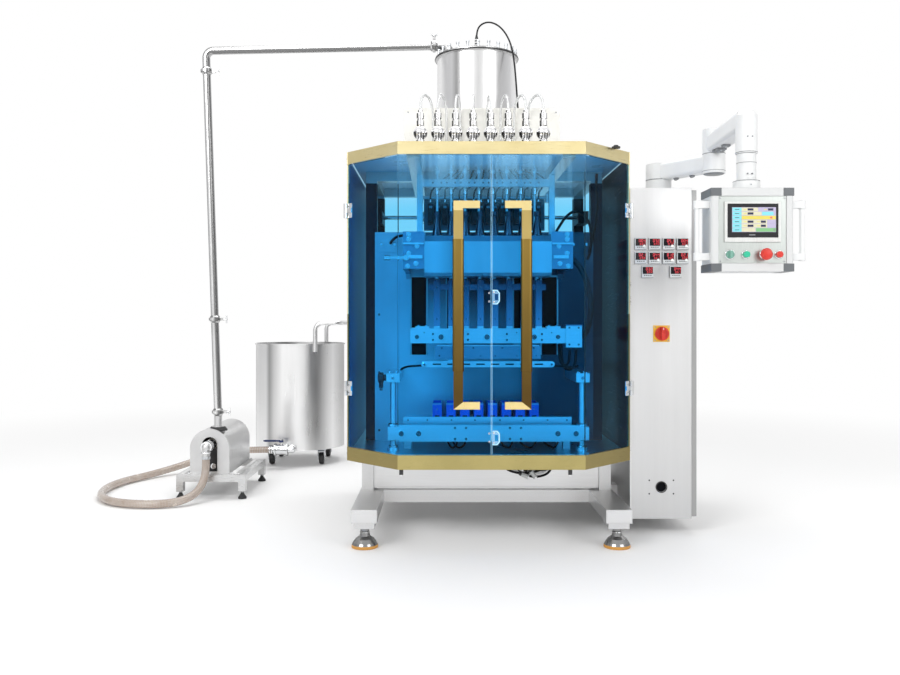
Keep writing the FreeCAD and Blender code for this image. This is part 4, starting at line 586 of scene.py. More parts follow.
# Painted reflections: shares of the vessels' colour by the way their walls face, from left to right.
TANK_REFLECTIONS = ((0.0, 0.50), (0.05, 0.90), (0.18, 0.88), (0.225, 0.42), (0.28, 0.72), (0.38, 0.95),
              (0.62, 0.95), (0.74, 0.58), (0.82, 0.62), (0.91, 0.92), (1.0, 0.50))
HOPPER_REFLECTIONS = ((0.0, 0.80), (0.05, 1.0), (0.18, 0.86), (0.235, 0.36), (0.32, 0.54), (0.44, 0.70),
                (0.60, 0.80), (0.74, 0.58), (0.84, 0.84), (0.92, 1.0), (1.0, 0.80))


def vessel_finish(name, stops):
    """Brushed vessel walls with painted reflections of upright bands of the room."""
    look = brushed(name, 0.97, 0.31, (4, 4, 160), 0.03, 1.2, 0.012)
    look.base(look.mix(look.bands(look.facing("X"), stops), 0.0, look.shown))


def pipe_finish():
    """Polished tube with a painted reflection of one dark band, to its right where it stands and below where
    it lies.
    """
    look = Finish("pipe_steel", (0.85, 0.85, 0.86), 0.28, 1.0)
    slant = look.times(look.minus(look.facing("X"), look.facing("Z")), 0.98)
    look.base(look.bands(slant, ((0.0, 0.22), (0.13, 0.30), (0.2, 0.80), (0.46, 0.84),
                                 (0.56, 0.45), (0.66, 0.20), (0.9, 0.24), (1.0, 0.62))))
    look.skin(look.noise(160), 0.08, 0.2, 0.0, 0.1)


def head_finish():
    """Polished filling heads with painted reflections of dark bands of the room beside and below them, and a
    pale painted highlight on their tops.
    """
    look = Finish("head_chrome", (0.86, 0.87, 0.88), 0.1, 1.0)
    across, up = look.facing("X"), look.facing("Z")
    beside = look.bands(across, ((0.0, 0.1), (0.15, 0.05), (0.22, 0.9), (0.56, 0.95),
                                 (0.63, 0.3), (0.7, 0.92), (0.94, 0.85), (1.0, 0.3)))
    streaks = look.math("SINE", look.times(across, 17.0))
    below = look.times(look.math("LESS_THAN", up, -0.12), look.math("GREATER_THAN", up, -0.9))
    shade = look.times(below, look.level(streaks, 0.0, 0.9, -0.5, 0.4))
    lit = look.mix(look.math("GREATER_THAN", up, 0.1), beside, (0.94, 0.94, 0.95))
    look.base(look.mix(shade, lit, 0.05))
    look.gloss(look.noise(20), 0.03).relief(look.noise(6), 0.03, 0.2, 0.8)


def pump_finish():
    """Brushed housing; the slot in its front is coloured near black as painted shade of its depth."""
    slot_half, slot_top, slot_front = 0.0375, 0.2995, at(y=959.5).y
    look = Finish("pump_shell", 0.60, 0.34)
    across = look.math("LESS_THAN", look.off("X", at(x=PUMP_X).x), slot_half)
    below = look.minus(1.0, look.over("Z", slot_top))
    slot = look.times(look.times(across, below), look.over("Y", slot_front))
    fine = look.noise((90, 3, 90), 3.0)
    look.base(look.mix(slot, look.vary(fine, 0.58, 0.66), (0.015, 0.015, 0.016)))
    look.set(Metallic=look.minus(1.0, slot)).skin(fine, 0.07, 0.2)


def film_finish():
    """Wound film without print: fine turns on the ends, a sheen on the round."""
    axis_y, axis_z, core_square, shaft_square = at(y=985).y, 0.640, 0.0034, 0.00046
    look = Finish("film", (0.80, 0.81, 0.82), 0.24, Coat_Weight=0.4)
    across = look.minus(look.place("Y"), axis_y)
    up = look.minus(look.place("Z"), axis_z)
    square = look.math("ADD", look.times(across, across), look.times(up, up))
    turns = look.math("SINE", look.times(look.math("SQRT", square), 3200.0))
    wound = look.mix(look.level(turns, 0.0, 1.0, -1, 1), (0.66, 0.68, 0.70), (0.84, 0.85, 0.86))
    with_core = look.mix(look.math("LESS_THAN", square, core_square), wound, (0.34, 0.24, 0.14))
    shaft = look.math("LESS_THAN", square, shaft_square)
    look.base(look.mix(shaft, with_core, (0.62, 0.63, 0.64))).set(Metallic=shaft)
    look.gloss(look.noise(50), 0.08).relief(turns, 0.06, 0.2)


def hose_finish():
    """Clear brown hose with a thread wound in its wall."""
    look = Finish("hose_wall", (0.50, 0.40, 0.33), 0.22, Coat_Weight=0.5, Transmission_Weight=0.35)
    along = look.node("SeparateXYZ", {0: look.node("TexCoord")["UV"]})
    wave = look.node("Math", {0: along["X"], 1: 1650.0, 2: look.times(along["Y"], 6.2832)},
                     operation="MULTIPLY_ADD")[0]
    thread = look.math("SINE", wave)
    cloud = look.noise(60, 3.0)
    wall = look.vary(cloud, (0.46, 0.36, 0.29), (0.62, 0.53, 0.46))
    look.base(look.mix(look.level(thread, 0.0, 0.55, 0.5, 1.0), wall, (0.78, 0.74, 0.70)))
    look.gloss(cloud, 0.06).relief(thread, 0.5, 0.35)


for build in (band_gold, handle_gold, tube_finish, panel_finish, column_finish, guide_finish, block_finish,
              door_finish, box_finish, shelf_finish, body_finish, frame_finish, pipe_finish, head_finish,
              pump_finish, film_finish, hose_finish):
    build()
vessel_finish("vessel_steel", TANK_REFLECTIONS)
vessel_finish("hopper_steel", HOPPER_REFLECTIONS)
CUTTER_TOP, BEZEL_BACK, SOLE_TOP = 0.711, at(y=-328.5).y, 0.037
two_part("cutter_steel", "Z", CUTTER_TOP, (STEEL_GREY, (0.34, 0.38, 0.46)), (0.38, 0.4), (1.0, 1.0),
         WORKS_GRAIN)
two_part("panel_plate", "Y", BEZEL_BACK, ((0.72, 0.73, 0.71), (0.52, 0.55, 0.53)), (0.35, 0.36), (0.0, 1.0),
         (2, 40, 40))
two_part("stand_steel", "Z", SOLE_TOP, (0.02, 0.62), (0.6, 0.3), (0.0, 1.0), (30, 30, 3))

# The nodes of the part that are shown as they are, by finish
NODE_FINISHES = {
    "frame_steel_post_shade": "machine_frame", "foot_steel": "levelling_feet", "sheet_steel": "base_panels",
    "body_steel": "body_panels", "gold": "guard_frame", "blue_acrylic": "door_left_panel door_right_panel",
    "gold_handle": "door_left_handle door_right_handle",
    "chrome": "door_left_hinges door_right_hinges hinge_leaves clamp_lever film_roller tank_valve",
    "pale_panel": "work_panel", "guide_steel": "guide_frame", "block_steel": "forming_block",
    "seal_steel": "seal_bar", "cutter_steel": "cutter_bar", "works_steel": "pull_carriage",
    "shelf_and_chutes": "chutes", "film": "film_reel", "cabinet_steel": "cabinet_shell",
    "shaded_door_steel": "cabinet_door", "light_plastic": "cabinet_equipment",
    "dark_plastic": "temperature_controllers", "yellow_plate": "main_switch_plate",
    "red_plastic": "main_switch_knob red_button emergency_stop",
    "white_paint": "arm_base arm_lower arm_upper arm_neck hmi_handles", "panel_frame": "hmi_box",
    "panel_plate": "hmi_front_plate", "pale_green": "selector_knob", "green_plastic": "green_button",
    "hopper_steel": "hopper", "head_chrome": "filling_heads", "clear_plastic": "filling_tubes",
    "milk_plastic": "filling_guard", "pump_shell": "pump_housing", "stand_steel": "pump_stand",
    "pipe_steel": "feed_pipe", "vessel_steel": "tank", "blue_lever": "valve_lever",
    "zinc": "caster_fork_1 caster_fork_2 caster_fork_3 caster_fork_4",
    "black_rubber": "caster_wheel_1 caster_wheel_2 caster_wheel_3 caster_wheel_4",
}


def dress_nodes():
    for finish, names in NODE_FINISHES.items():
        for name in names.split():
            materials = nodes[name].data.materials
            if not materials:
                materials.append(None)
            for index in range(len(materials)):
                materials[index] = FINISHES[finish].material


# Forms

def toward(start, direction):
    """The placement whose z axis runs from start along direction."""
    return Matrix.Translation(Vector(start)) @ Vector(direction).to_track_quat("Z", "Y").to_matrix().to_4x4()


class Piece:
    """A mesh of many small forms on one body, in the machine's millimetres."""

    def __init__(self, name, body, slot):
        self.name = name
        self.body = body
        self.slot = slot
        self.form = bmesh.new()
        self.finishes = []

    def paint(self, verts, finish):
        if finish not in self.finishes:
            self.finishes.append(finish)
        for face in {face for vert in verts for face in vert.link_faces}:
            face.material_index = self.finishes.index(finish)

    def block(self, finish, x, y, z, width, depth, height):
        """A block about the middle of x, from its front and its bottom."""
        size = Matrix.Diagonal((width, depth, height, 1))
        place = Matrix.Translation((x, y + depth / 2, z + height / 2))
        self.paint(bmesh.ops.create_cube(self.form, size=1, matrix=place @ size)["verts"], finish)

    def rod(self, finish, start, end, radius, end_radius=None, sides=20):
        run = Vector(end) - Vector(start)
        place = toward(start, run) @ Matrix.Translation((0, 0, run.length / 2))
        made = bmesh.ops.create_cone(self.form, cap_ends=True, segments=sides, radius1=radius,
                                     radius2=radius if end_radius is None else end_radius,
                                     depth=run.length, matrix=place)
        self.paint(made["verts"], finish)

    def ball(self, finish, centre, radius, squeeze):
        place = Matrix.Translation(centre) @ Matrix.Diagonal((*squeeze, 1))
        made = bmesh.ops.create_uvsphere(self.form, u_segments=20, v_segments=12, radius=radius, matrix=place)
        self.paint(made["verts"], finish)

    def lathe(self, finish, foot, axis, outline, sides=28):
        """A turned form: outline lists radius and height from the foot along the axis."""
        place = toward(foot, axis)
        rings = [[self.form.verts.new(place @ Vector((across, along, height)))
                  for across, along in circle(radius, sides if radius else 1)] for radius, height in outline]
        for low, high in zip(rings, rings[1:]):
            for k in range(sides):
                corners = (low[k % len(low)], low[(k + 1) % len(low)],
                           high[(k + 1) % len(high)], high[k % len(high)])
                corners = list(dict.fromkeys(corners))
                if len(corners) > 2:
                    self.form.faces.new(corners)
        self.paint([vert for ring in rings for vert in ring], finish)

    def disc(self, finish, foot, axis, radius, low, high, sides=24):
        self.lathe(finish, foot, axis, [(0, low), (radius, low), (radius, high), (0, high)], sides)

    def sleeve(self, finish, foot, axis, bore, radius, low, high, sides=32):
        self.lathe(finish, foot, axis, [(bore, low), (radius, low), (radius, high), (bore, high)], sides)

    def ring(self, finish, centre, axis, radius, thickness, sides=32):
        """A round ring of round section."""
        section = [(radius + thickness * math.cos(turn), thickness * math.sin(turn))
                   for turn in (math.pi * step / 4 for step in range(9))]
        self.lathe(finish, centre, axis, section, sides)

    def bolts(self, finish, places, axis, radius, height):
        """Hexagon heads on their washers."""
        along = Vector(axis).normalized() * height
        for foot in map(Vector, places):
            self.disc(finish, foot, axis, radius * 1.5, 0.1, height * 0.2, 20)
            self.rod(finish, foot + along * 0.15, foot + along, radius, sides=6)

    def screws(self, finish, places, axis, radius, height):
        """Round heads with a hexagon socket."""
        socket, depth = radius * 0.52, height * 0.4
        head = [(radius, 0), (radius, height * 0.75), (radius * 0.86, height), (socket, height)]
        for foot in places:
            self.lathe(finish, foot, axis, head, 20)
            self.lathe("dark_steel", foot, axis, [(socket, height), (radius * 0.5, depth), (0, depth)], 6)

    def done(self, bevel=0.0, smooth=38):
        for vert in self.form.verts:
            vert.co = at(*vert.co)
        bmesh.ops.recalc_face_normals(self.form, faces=self.form.faces)
        mesh = bpy.data.meshes.new(self.name)
        self.form.to_mesh(mesh)
        self.form.free()
        for finish in self.finishes:
            mesh.materials.append(FINISHES[finish].material)
        mesh.polygons.foreach_set("use_smooth", [True] * len(mesh.polygons))
        mesh.set_sharp_from_angle(angle=math.radians(smooth))
        piece = bpy.data.objects.new(self.name, mesh)
        bpy.context.scene.collection.objects.link(piece)
        if bevel:
            rounding = piece.modifiers.new("edges", "BEVEL")
            rounding.width = bevel * SCALE
            rounding.segments = 2
            rounding.limit_method = "ANGLE"
            rounding.angle_limit = math.radians(smooth)
            rounding.harden_normals = True
        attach(piece, self.body)
        return piece


def line_of(name, runs, radius, finish="cable_skin", body="root"):
    """Round lines through control points, one smooth spline for each run."""
    curve = bpy.data.curves.new(name, "CURVE")
    curve.dimensions = "3D"
    curve.bevel_depth = radius * SCALE
    curve.bevel_resolution = 3
    curve.use_fill_caps = True
    curve.resolution_u = 10
    for points in runs:
        spline = curve.splines.new("NURBS")
        spline.points.add(len(points) - 1)
        for point, place in zip(spline.points, points):
            point.co = (*at(*place), 1)
        spline.order_u = 3
        spline.use_endpoint_u = True
    curve.materials.append(FINISHES[finish].material)
    piece = bpy.data.objects.new(name, curve)
    bpy.context.scene.collection.objects.link(piece)
    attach(piece, body)
    return piece


# Cords

HOSE_ROUTE = [
    (-1184, 1765, 116), (-1320, 1765, 116), (-1462, 1742, 104), (-1592, 1680, 70), (-1706, 1588, 38),
    (-1800, 1468, 22), (-1866, 1326, 21), (-1896, 1172, 22), (-1886, 1018, 21), (-1836, 880, 22),
    (-1748, 776, 21), (-1632, 718, 22), (-1516, 712, 21), (-1420, 746, 24), (-1360, 804, 46),
    (-1336, 860, 92), (-1331, 890, 150), (-1331, 890, 208),
]
SENSOR_ROUTE = [
    (-20, 930, 2247), (-20, 930, 2284), (-2, 918, 2314), (38, 892, 2320), (84, 858, 2290),
    (120, 820, 2232), (142, 780, 2156), (150, 744, 2066), (154, 706, 1972), (156, 664, 1878),
    (158, 620, 1786), (158, 576, 1706), (158, 546, 1642), (158, 540, 1600), (158, 540, 1572),
]


def build_cords():
    hose = line_of("suction_hose_line", [HOSE_ROUTE], 19, "hose_wall", "root")
    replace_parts(hose, "suction_hose")
    cable = line_of("sensor_cable_line", [SENSOR_ROUTE], 4)
    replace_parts(cable, "sensor_cable")


# Guard and doors

FACET_ALONG = (0.6958, 0.7182)
CATCH_RIM = ((3, 2), (20, 2), (29, 13), (29, 43), (20, 54), (3, 54))


def facet(side, back, out, z):
    """A point on a slanted end of the guard: back from its outer corner, and out of its face."""
    x = 575 - back * FACET_ALONG[0] + out * FACET_ALONG[1]
    y = 224 - back * FACET_ALONG[1] - out * FACET_ALONG[0]
    return side * x, y, z


def build_door_edges(side, body):
    """The lit free edge of a door and the rims of its catches, both glowing painted highlights, and their
    screws and the hinges' ones.
    """
    piece = Piece("door_edges_" + body, body, "blue_acrylic")
    piece.block("painted_edge_glow", side * 2.4, -0.3, DOOR_BOTTOM, 0.8, 8.6, DOOR_TOP - DOOR_BOTTOM)
    for low in CATCH_LOWS:
        if side < 0:
            piece.screws("chrome", spots(-9, 0, (low + 12, low + 44)), FRONT, 4, 3)
            continue
        rim = [(x, -10.5, low + rise) for x, rise in CATCH_RIM]
        for start, end in zip(rim, rim[1:]):
            piece.rod("painted_edge_glow", start, end, 1.6, sides=8)
        piece.screws("chrome", spots(8, -10, (low + 9, low + 47)), FRONT, 3.5, 2)
    for low in HINGE_LOWS:
        feet = [facet(side, back, 3, low + rise) for back, rise in ((17, 12), (17, 46), (29, 29))]
        piece.screws("zinc", feet, (side * FACET_ALONG[1], -FACET_ALONG[0], 0), 4, 2.5)
    piece.done()


def build_guard_trim():
    piece = Piece("guard_trim", "root", "gold_trim")
    piece.rod("black_rubber", (500, 130, 1556), (500, 130, 1562), 17)
    piece.rod("dark_plastic", (500, 130, 1562), (500, 130, 1568), 11, 9)
    for x in (-345, 302):
        piece.rod("dark_plastic", (x, 15, 284), (x, 15, 306), 8)
        piece.rod("chrome", (x, 15, 280), (x, 15, 285), 5)
    leaf = ((240, 12), (240, 46), (254, 29))
    for side in SIDES:
        feet = [(side * 578, y, low + rise) for low in HINGE_LOWS for y, rise in leaf]
        piece.screws("zinc", feet, (side, 0, 0), 4, 2.5)
        piece.screws("zinc", spots(side * 575, 237, (332, 1533)), (side, 0, 0), 5, 3)
    piece.done()


# Works behind the doors

def build_guide_details():
    """Fill rods' nuts and wires, and the screws of the guide frame, its brackets and its posts."""
    piece = Piece("guide_details", "root", "stainless")
    rod_nut = [(0, 0), (10, 0), (12, 4), (12, 14), (8, 18), (0, 18)]
    for x in LANE_XS:
        piece.screws("dark_steel", spots(pair(18, x), 430, 1467), FRONT, 4, 2.5)
        piece.lathe("works_steel", (x, 440, 1508), UP, rod_nut, 18)
        piece.lathe("chrome", (x, 440, 1416), UP, [(6.2, 0), (9, 2), (9, 30), (6.2, 32)], 18)
        piece.rod("dark_plastic", (x, 352, 1306), (x, 392, 1318), 5, sides=12)
        piece.rod("light_plastic", (x, 388, 1316), (x, 436, 1330), 3.4, sides=12)
        piece.block("chrome", x + 11, 322, 1226, 9, 10, 5)
    for side in SIDES:
        bracket = ((326, 1228), (326, 1208), (292, 1180), (326, 1150), (296, 1108), (330, 1098))
        piece.bolts("chrome", [(side * x, 262, z) for x, z in bracket], FRONT, 7, 6)
        piece.block("works_steel", side * 306, 250, 1186, 86, 12, 7)
        piece.block("works_steel", side * 300, 252, 1128, 62, 10, 14)
        piece.block("works_steel", side * 284, 552, 1400, 22, 42, 36)
        post = side * POST_X
        piece.screws("chrome", spots(pair(14, post), pair(21, POST_Y), 656), UP, 5, 5)
        piece.screws("chrome", [(post, 263, 637)], FRONT, 7, 6)
        piece.lathe("chrome", (post, POST_Y, 349), UP, [(12.2, 0), (18, 0), (18, 8), (12.2, 10)], 20)
        flange = [(post + across, POST_Y + along, 349) for across, along in circle(19, 4, 45)]
        piece.screws("dark_steel", flange, UP, 3, 3)
    piece.rod("works_steel", (-284, 560, 1420), (284, 560, 1420), 7)
    knob = [(0, 0), (13, 0), (13, 12), (22, 14), (22, 32), (15, 36), (0, 36)]
    piece.lathe("dark_plastic", (-417, 290, 637), LEFT, knob, 14)
    piece.rod("dark_plastic", (-440, 290, 637), (-440, 290, 596), 9)
    piece.rod("dark_steel", (-440, 290, 596), (-440, 290, 584), 6)
    piece.done(0.5)


def build_valve_bank():
    """Air valves, their plugs and hoses on the rear rail above the work panel."""
    piece = Piece("valve_bank", "root", "pale_panel")
    piece.block("grey_plastic", 0, 574, 1276, 540, 20, 150)
    columns = list(enumerate(range(-240, 272, 32)))
    for number, x in columns:
        piece.block("dark_plastic", x, 548, 1300 + (number % 2) * 8, 24, 26, 92)
        piece.block("light_plastic", x, 545, 1372, 14, 3, 10)
        piece.rod("chrome", (x, 556, 1398), (x, 556, 1412), 5, sides=12)
        piece.rod("dark_plastic", (x, 548, 1318), (x, 538, 1318), 6, sides=12)
    piece.done(0.8)
    line_of("valve_hoses", [
        [(x, 556, 1410), (x, 552, 1440 + (number % 3) * 10), (x + 14, 546, 1462),
         (x + 40, 540, 1480 + (number % 4) * 8), (x * 0.7 + 30, 530, 1539)] for number, x in columns
    ], 4)


def build_panel_details():
    """Screws of the work panel, frames of its slots, and plates at its top corners."""
    slot_low, slot_top = 719, 1068
    piece = Piece("work_panel_details", "root", "pale_panel")
    for side in SIDES:
        piece.screws("dark_steel", spots(side * 470, 594, (380, 640, 900, 1240)), FRONT, 5, 3)
        for middle, half in ((293, 33), (150, 15)):
            for x in pair(half + 4, middle):
                piece.block("zinc", side * x, 590, slot_low, 6, 4, slot_top - slot_low)
            piece.block("zinc", side * middle, 590, slot_top, half * 2 + 14, 4, 8)
        # Near-black plates in the slots: painted shade of their depth.
        for middle, width, low, top in ((293, 88, slot_low, 780), (293, 88, 841, slot_top),
                                        (150, 66, 779, slot_top)):
            piece.block("hollow_shade", side * middle, 601, low, width, 2, top - low)
        piece.block("pale_panel", side * 430, 588, 1180, 90, 6, 70)
        piece.bolts("chrome", spots(pair(30, side * 430), 588, 1215), FRONT, 5, 4)
    piece.done(0.6)


def build_seal_details():
    """Screws, slide rod collars, column strips and cables of the vertical sealing bar."""
    piece = Piece("seal_details", "vertical_sealer", "stainless")
    clamps, rod_seat = (-193, -4, 190), [(11.3, 0), (20, 0), (20, 10), (11.3, 12)]
    for x in clamps:
        piece.disc("works_steel", (x, 262, 806), FRONT, 15, 1, 3)
    piece.screws("dark_steel", spots(clamps, 260, 806), FRONT, 10.5, 7)
    piece.screws("dark_steel", spots((-292, 288), 262, 806), FRONT, 8.5, 6)
    piece.screws("dark_steel", spots((-226, -82, 78, 222), 262, (818, 794)), FRONT, 4.5, 3)
    piece.screws("dark_steel", spots((-262, 262, -118, 118), 262, 824), FRONT, 2.6, 2)
    piece.screws("dark_steel", spots(LANE_XS, 272, (880, 1012)), FRONT, 3.4, 3)
    for x in LANE_XS:
        piece.block("chrome", x, 302, 850, 14, 4, 184)
        piece.rod("dark_plastic", (x, 288, 1040), (x, 288, 1047), 7)
    for side in SIDES:
        piece.block("works_steel", side * 270, 266, 841, 58, 40, 9)
        piece.bolts("chrome", spots(pair(16, side * 270), 286, 850), UP, 5, 5)
        piece.lathe("works_steel", (side * 293, 314, 810.5), BACK, rod_seat, 24)
    piece.screws("dark_steel", spots((334, 372), 256, (775, 844)), FRONT, 4, 3)
    for x in (340, 366):
        piece.lathe("dark_plastic", (x, 286, 763), DOWN, [(0, 0), (9, 0), (9, 8), (6.5, 12), (0, 12)], 16)
    piece.done(0.5)
    line_of("seal_cables", [
        [(340, 286, 756), (339, 286, 716), (330, 287, 690), (308, 290, 690), (298, 294, 716),
         (296, 298, 776)],
        [(366, 286, 756), (366, 286, 706), (350, 288, 672), (322, 292, 672), (308, 298, 700),
         (306, 300, 776)],
    ], 6, body="vertical_sealer")


def build_cutter_details():
    """Screws, end caps, blades and cables of the cross sealing plate."""
    piece = Piece("cutter_details", "cross_sealer", "stainless")
    cap = [(0, 0.5), (10, 0.5), (10, 4), (7, 6), (0, 6)]
    for side in SIDES:
        end = side * 262
        piece.lathe("works_steel", (end, 264, 693.5), FRONT, cap, 20)
        piece.rod("dark_steel", (end, 258.5, 693.5), (end, 257, 693.5), 4.5)
        piece.screws("dark_steel", spots((side * 60, side * 190), 272, 760), FRONT, 4, 3)
        piece.screws("dark_steel", spots((side * 30, side * 120, side * 200), 272, 728), FRONT, 3, 2)
    piece.block("works_steel", 0, 268, 768, 420, 6, 4)
    for x in LANE_XS:
        piece.block("dark_plastic", x, 273.5, 691, 34, 1.2, 5)
    piece.done(0.5)
    line_of("cutter_cables", [
        [(-272, 276, 688), (-300, 278, 686), (-330, 284, 684), (-352, 300, 676), (-360, 330, 668)],
        [(272, 276, 688), (304, 278, 684), (340, 282, 682), (366, 300, 680), (380, 330, 684)],
    ], 4.5, body="cross_sealer")


def build_carriage_details():
    """Screws, post seals and grippers of the pull carriage."""
    piece = Piece("carriage_details", "carriage", "stainless")
    ends = (-355, -284, 283, 357)
    for x in ends:
        piece.disc("works_steel", (x, 230, 413), FRONT, 15, 0.5, 2.5)
    piece.screws("dark_steel", spots(ends, 228, 413), FRONT, 10.5, 7)
    piece.screws("dark_steel", spots((-136, -91, 88, 133), 230, (436, 391)), FRONT, 5, 3)
    for seal in spots((-POST_X, POST_X), POST_Y, (444, 382)):
        piece.ring("dark_plastic", seal, UP, 17, 4)
    for x in LANE_XS:
        piece.block("chrome", x, 262, 398, 26, 8, 30)
    piece.screws("dark_steel", spots(LANE_XS, 270, 413), BACK, 4, 4)
    piece.done(0.5)


def build_chute_details():
    """Lips and windows of the chutes, and the screws of their shelf."""
    piece = Piece("chute_details", "root", "blue_chute")
    for x in LANE_XS:
        piece.block("dark_plastic", x, 449, 450, 20, 1.6, 13)
        for side in SIDES:
            piece.block("chute_lip", x + side * 18.7, 449.5, 508, 3, 137, 8)
        for y in (449, 583.5):
            piece.block("chute_lip", x, y, 508, 40.5, 3, 8)
        piece.block("shelf_steel", x + 30, 452, 444, 17, 128, 5)
    piece.screws("zinc", spots(LANE_XS, 450, 489), FRONT, 3, 2)
    row = [side * x for side in SIDES for x in (52, 150, 250, 330)]
    piece.screws("dark_steel", spots(row, 300, 460), FRONT, 3.4, 2.4)
    piece.screws("zinc", spots(row, 340, 444), UP, 4, 3)
    piece.done(0.4)


def build_inner_lines():
    """Fixed hoses and wires behind the doors and under the front band."""
    line_of("works_hose", [
        [(262, 330, 1146), (300, 318, 1152), (345, 308, 1140), (388, 306, 1096), (420, 314, 1020),
         (436, 340, 930), (440, 420, 850), (440, 520, 810), (440, 596, 800)],
    ], 12, "black_rubber")
    line_of("works_wires", [
        [(262, 380, 1190), (300, 380, 1260), (348, 390, 1330), (398, 410, 1346), (446, 430, 1300),
         (462, 470, 1220), (464, 540, 1160), (464, 596, 1150)],
        [(470, 590, 1180), (480, 480, 1270), (478, 420, 1380), (466, 400, 1450), (470, 400, 1500)],
        [(-262, 380, 1180), (-300, 400, 1226), (-352, 440, 1244), (-400, 500, 1236), (-420, 596, 1220)],
    ], 6)
    run = ((0, 320, 380), (1, 322, 350), (2, 330, 339), (3, 380, 338), (4, 480, 338), (4, 592, 338))
    line_of("deck_wires", [[(x + shift * share, y, z) for share, y, z in run] for x, shift in
                           ((-170, 12), (-150, 16), (110, -10), (210, -14), (300, -10))], 4)
    line_of("loom", [
        [(50, 388, 292), (62, 372, 262), (96, 364, 236), (150, 362, 226), (206, 364, 232), (252, 370, 252),
         (262, 388, 292)],
        [(96, 388, 292), (118, 366, 256), (168, 358, 216), (226, 358, 212), (276, 364, 236), (290, 388, 292)],
        [(150, 388, 292), (166, 366, 262), (200, 360, 244), (250, 362, 240), (300, 368, 262),
         (312, 388, 292)],
        [(132, 388, 292), (142, 366, 248), (170, 360, 236)],
    ], 5)
    piece = Piece("loom_plugs", "root", "dark_plastic")
    for start, end in (((122, 360, 262), (150, 358, 244)), ((146, 356, 224), (172, 356, 214)),
                       ((186, 354, 236), (204, 354, 214))):
        along = (Vector(end) - Vector(start)).normalized()
        piece.rod("light_plastic", start, end, 9)
        piece.rod("dark_plastic", start, Vector(start) - along * 10, 7)
        piece.rod("chrome", end, Vector(end) + along * 5, 10)
    for x in (56, 140, 260, 300):
        piece.block("dark_plastic", x, 384, 286, 22, 6, 10)
    piece.done(0.6)


# Base, sides and back

def build_base_details():
    """Rubber soles, lock rings, end caps and screws of the base."""
    foot_x, beam_x = 487, 480
    piece = Piece("base_details", "root", "stainless")
    for side in SIDES:
        for y in (45, 1105):
            sole = [(0, 0), (51, 0), (51.5, 4), (50.5, 11), (0, 11)]
            piece.lathe("amber_rubber", (side * foot_x, y, 0.4), UP, sole, 40)
            piece.ring("pipe_steel", (side * foot_x, y, 58), UP, 17, 2.5)
        for y in (-1.2, 1148.2):
            piece.block("sheet_steel", side * foot_x, y, 103, 94, 3, 46)
        piece.bolts("chrome", [(side * 537, 250, 128)], (side, 0, 0), 9, 8)
        piece.ring("chrome", (side * 541, 250, 116), BACK, 8, 2.4)
        piece.bolts("zinc", spots(side * beam_x, (412, 625, 1125), 152), UP, 7, 5)
    piece.screws("zinc", spots((-430, -150, 150, 430), 397, 276), FRONT, 4.5, 3)
    piece.block("sheet_steel", 0, 393.5, 158, 934, 4, 6)
    piece.done(0.8)


def build_body_details():
    """Screws of the side sheets and of the roof, seals of the filling heads and the sensor cable's gland."""
    piece = Piece("body_details", "root", "stainless")
    for side in SIDES:
        piece.screws("zinc", spots(side * 575, (262, 560, 860, 1130), (330, 930, 1530)), (side, 0, 0), 5, 3)
    roof = spots((-540, 540), (300, 1120), ROOF_TOP) + spots((-300, 300), 700, ROOF_TOP)
    piece.screws("zinc", roof, UP, 5, 3)
    head_pitch, heads_middle, diagonal = 70, -30, 19 * 0.72
    for x in [heads_middle + lane * head_pitch for lane in LANES]:
        piece.ring("black_rubber", (x, 290, 1549), UP, 7, 2.4)
        piece.screws("zinc", [(x + shift, 150 + shift, 1553) for shift in pair(diagonal)], UP, 2.6, 2)
    piece.screws("zinc", spots((-330, 285), 305, (1560, 1740)), FRONT, 3.4, 2.4)
    gland_x, gland_y, gland_top = SENSOR_ROUTE[-1]
    piece.lathe("black_rubber", (gland_x, gland_y, gland_top), UP, [(4.4, 0), (8, 0), (6, 12), (4.4, 12)], 16)
    piece.lathe("zinc", (gland_x, gland_y, ROOF_TOP), UP, [(9, 0), (13, 0), (13, 7), (9, 9)], 6)
    piece.done(0.5)


# Electrical cabinet

# Segments of a digit: share of the width, share of the height, and whether the segment lies
SEGMENTS = {
    "a": (0, 1, True), "b": (0.5, 0.75, False), "c": (0.5, 0.25, False), "d": (0, 0, True),
    "e": (-0.5, 0.25, False), "f": (-0.5, 0.75, False), "g": (0, 0.5, True),
}
DIGITS = ("abcdef", "abged", "abgcd", "fgbc", "afgcd", "bc")


def draw_digit(piece, x, y, z, width, height, shape):
    thick = width * 0.2
    for name in shape:
        across, up, lies = SEGMENTS[name]
        wide, tall = (width, thick) if lies else (thick, height / 2)
        piece.block("red_digits", x + across * width, y, z + up * height - tall / 2, wide, 0.5, tall)


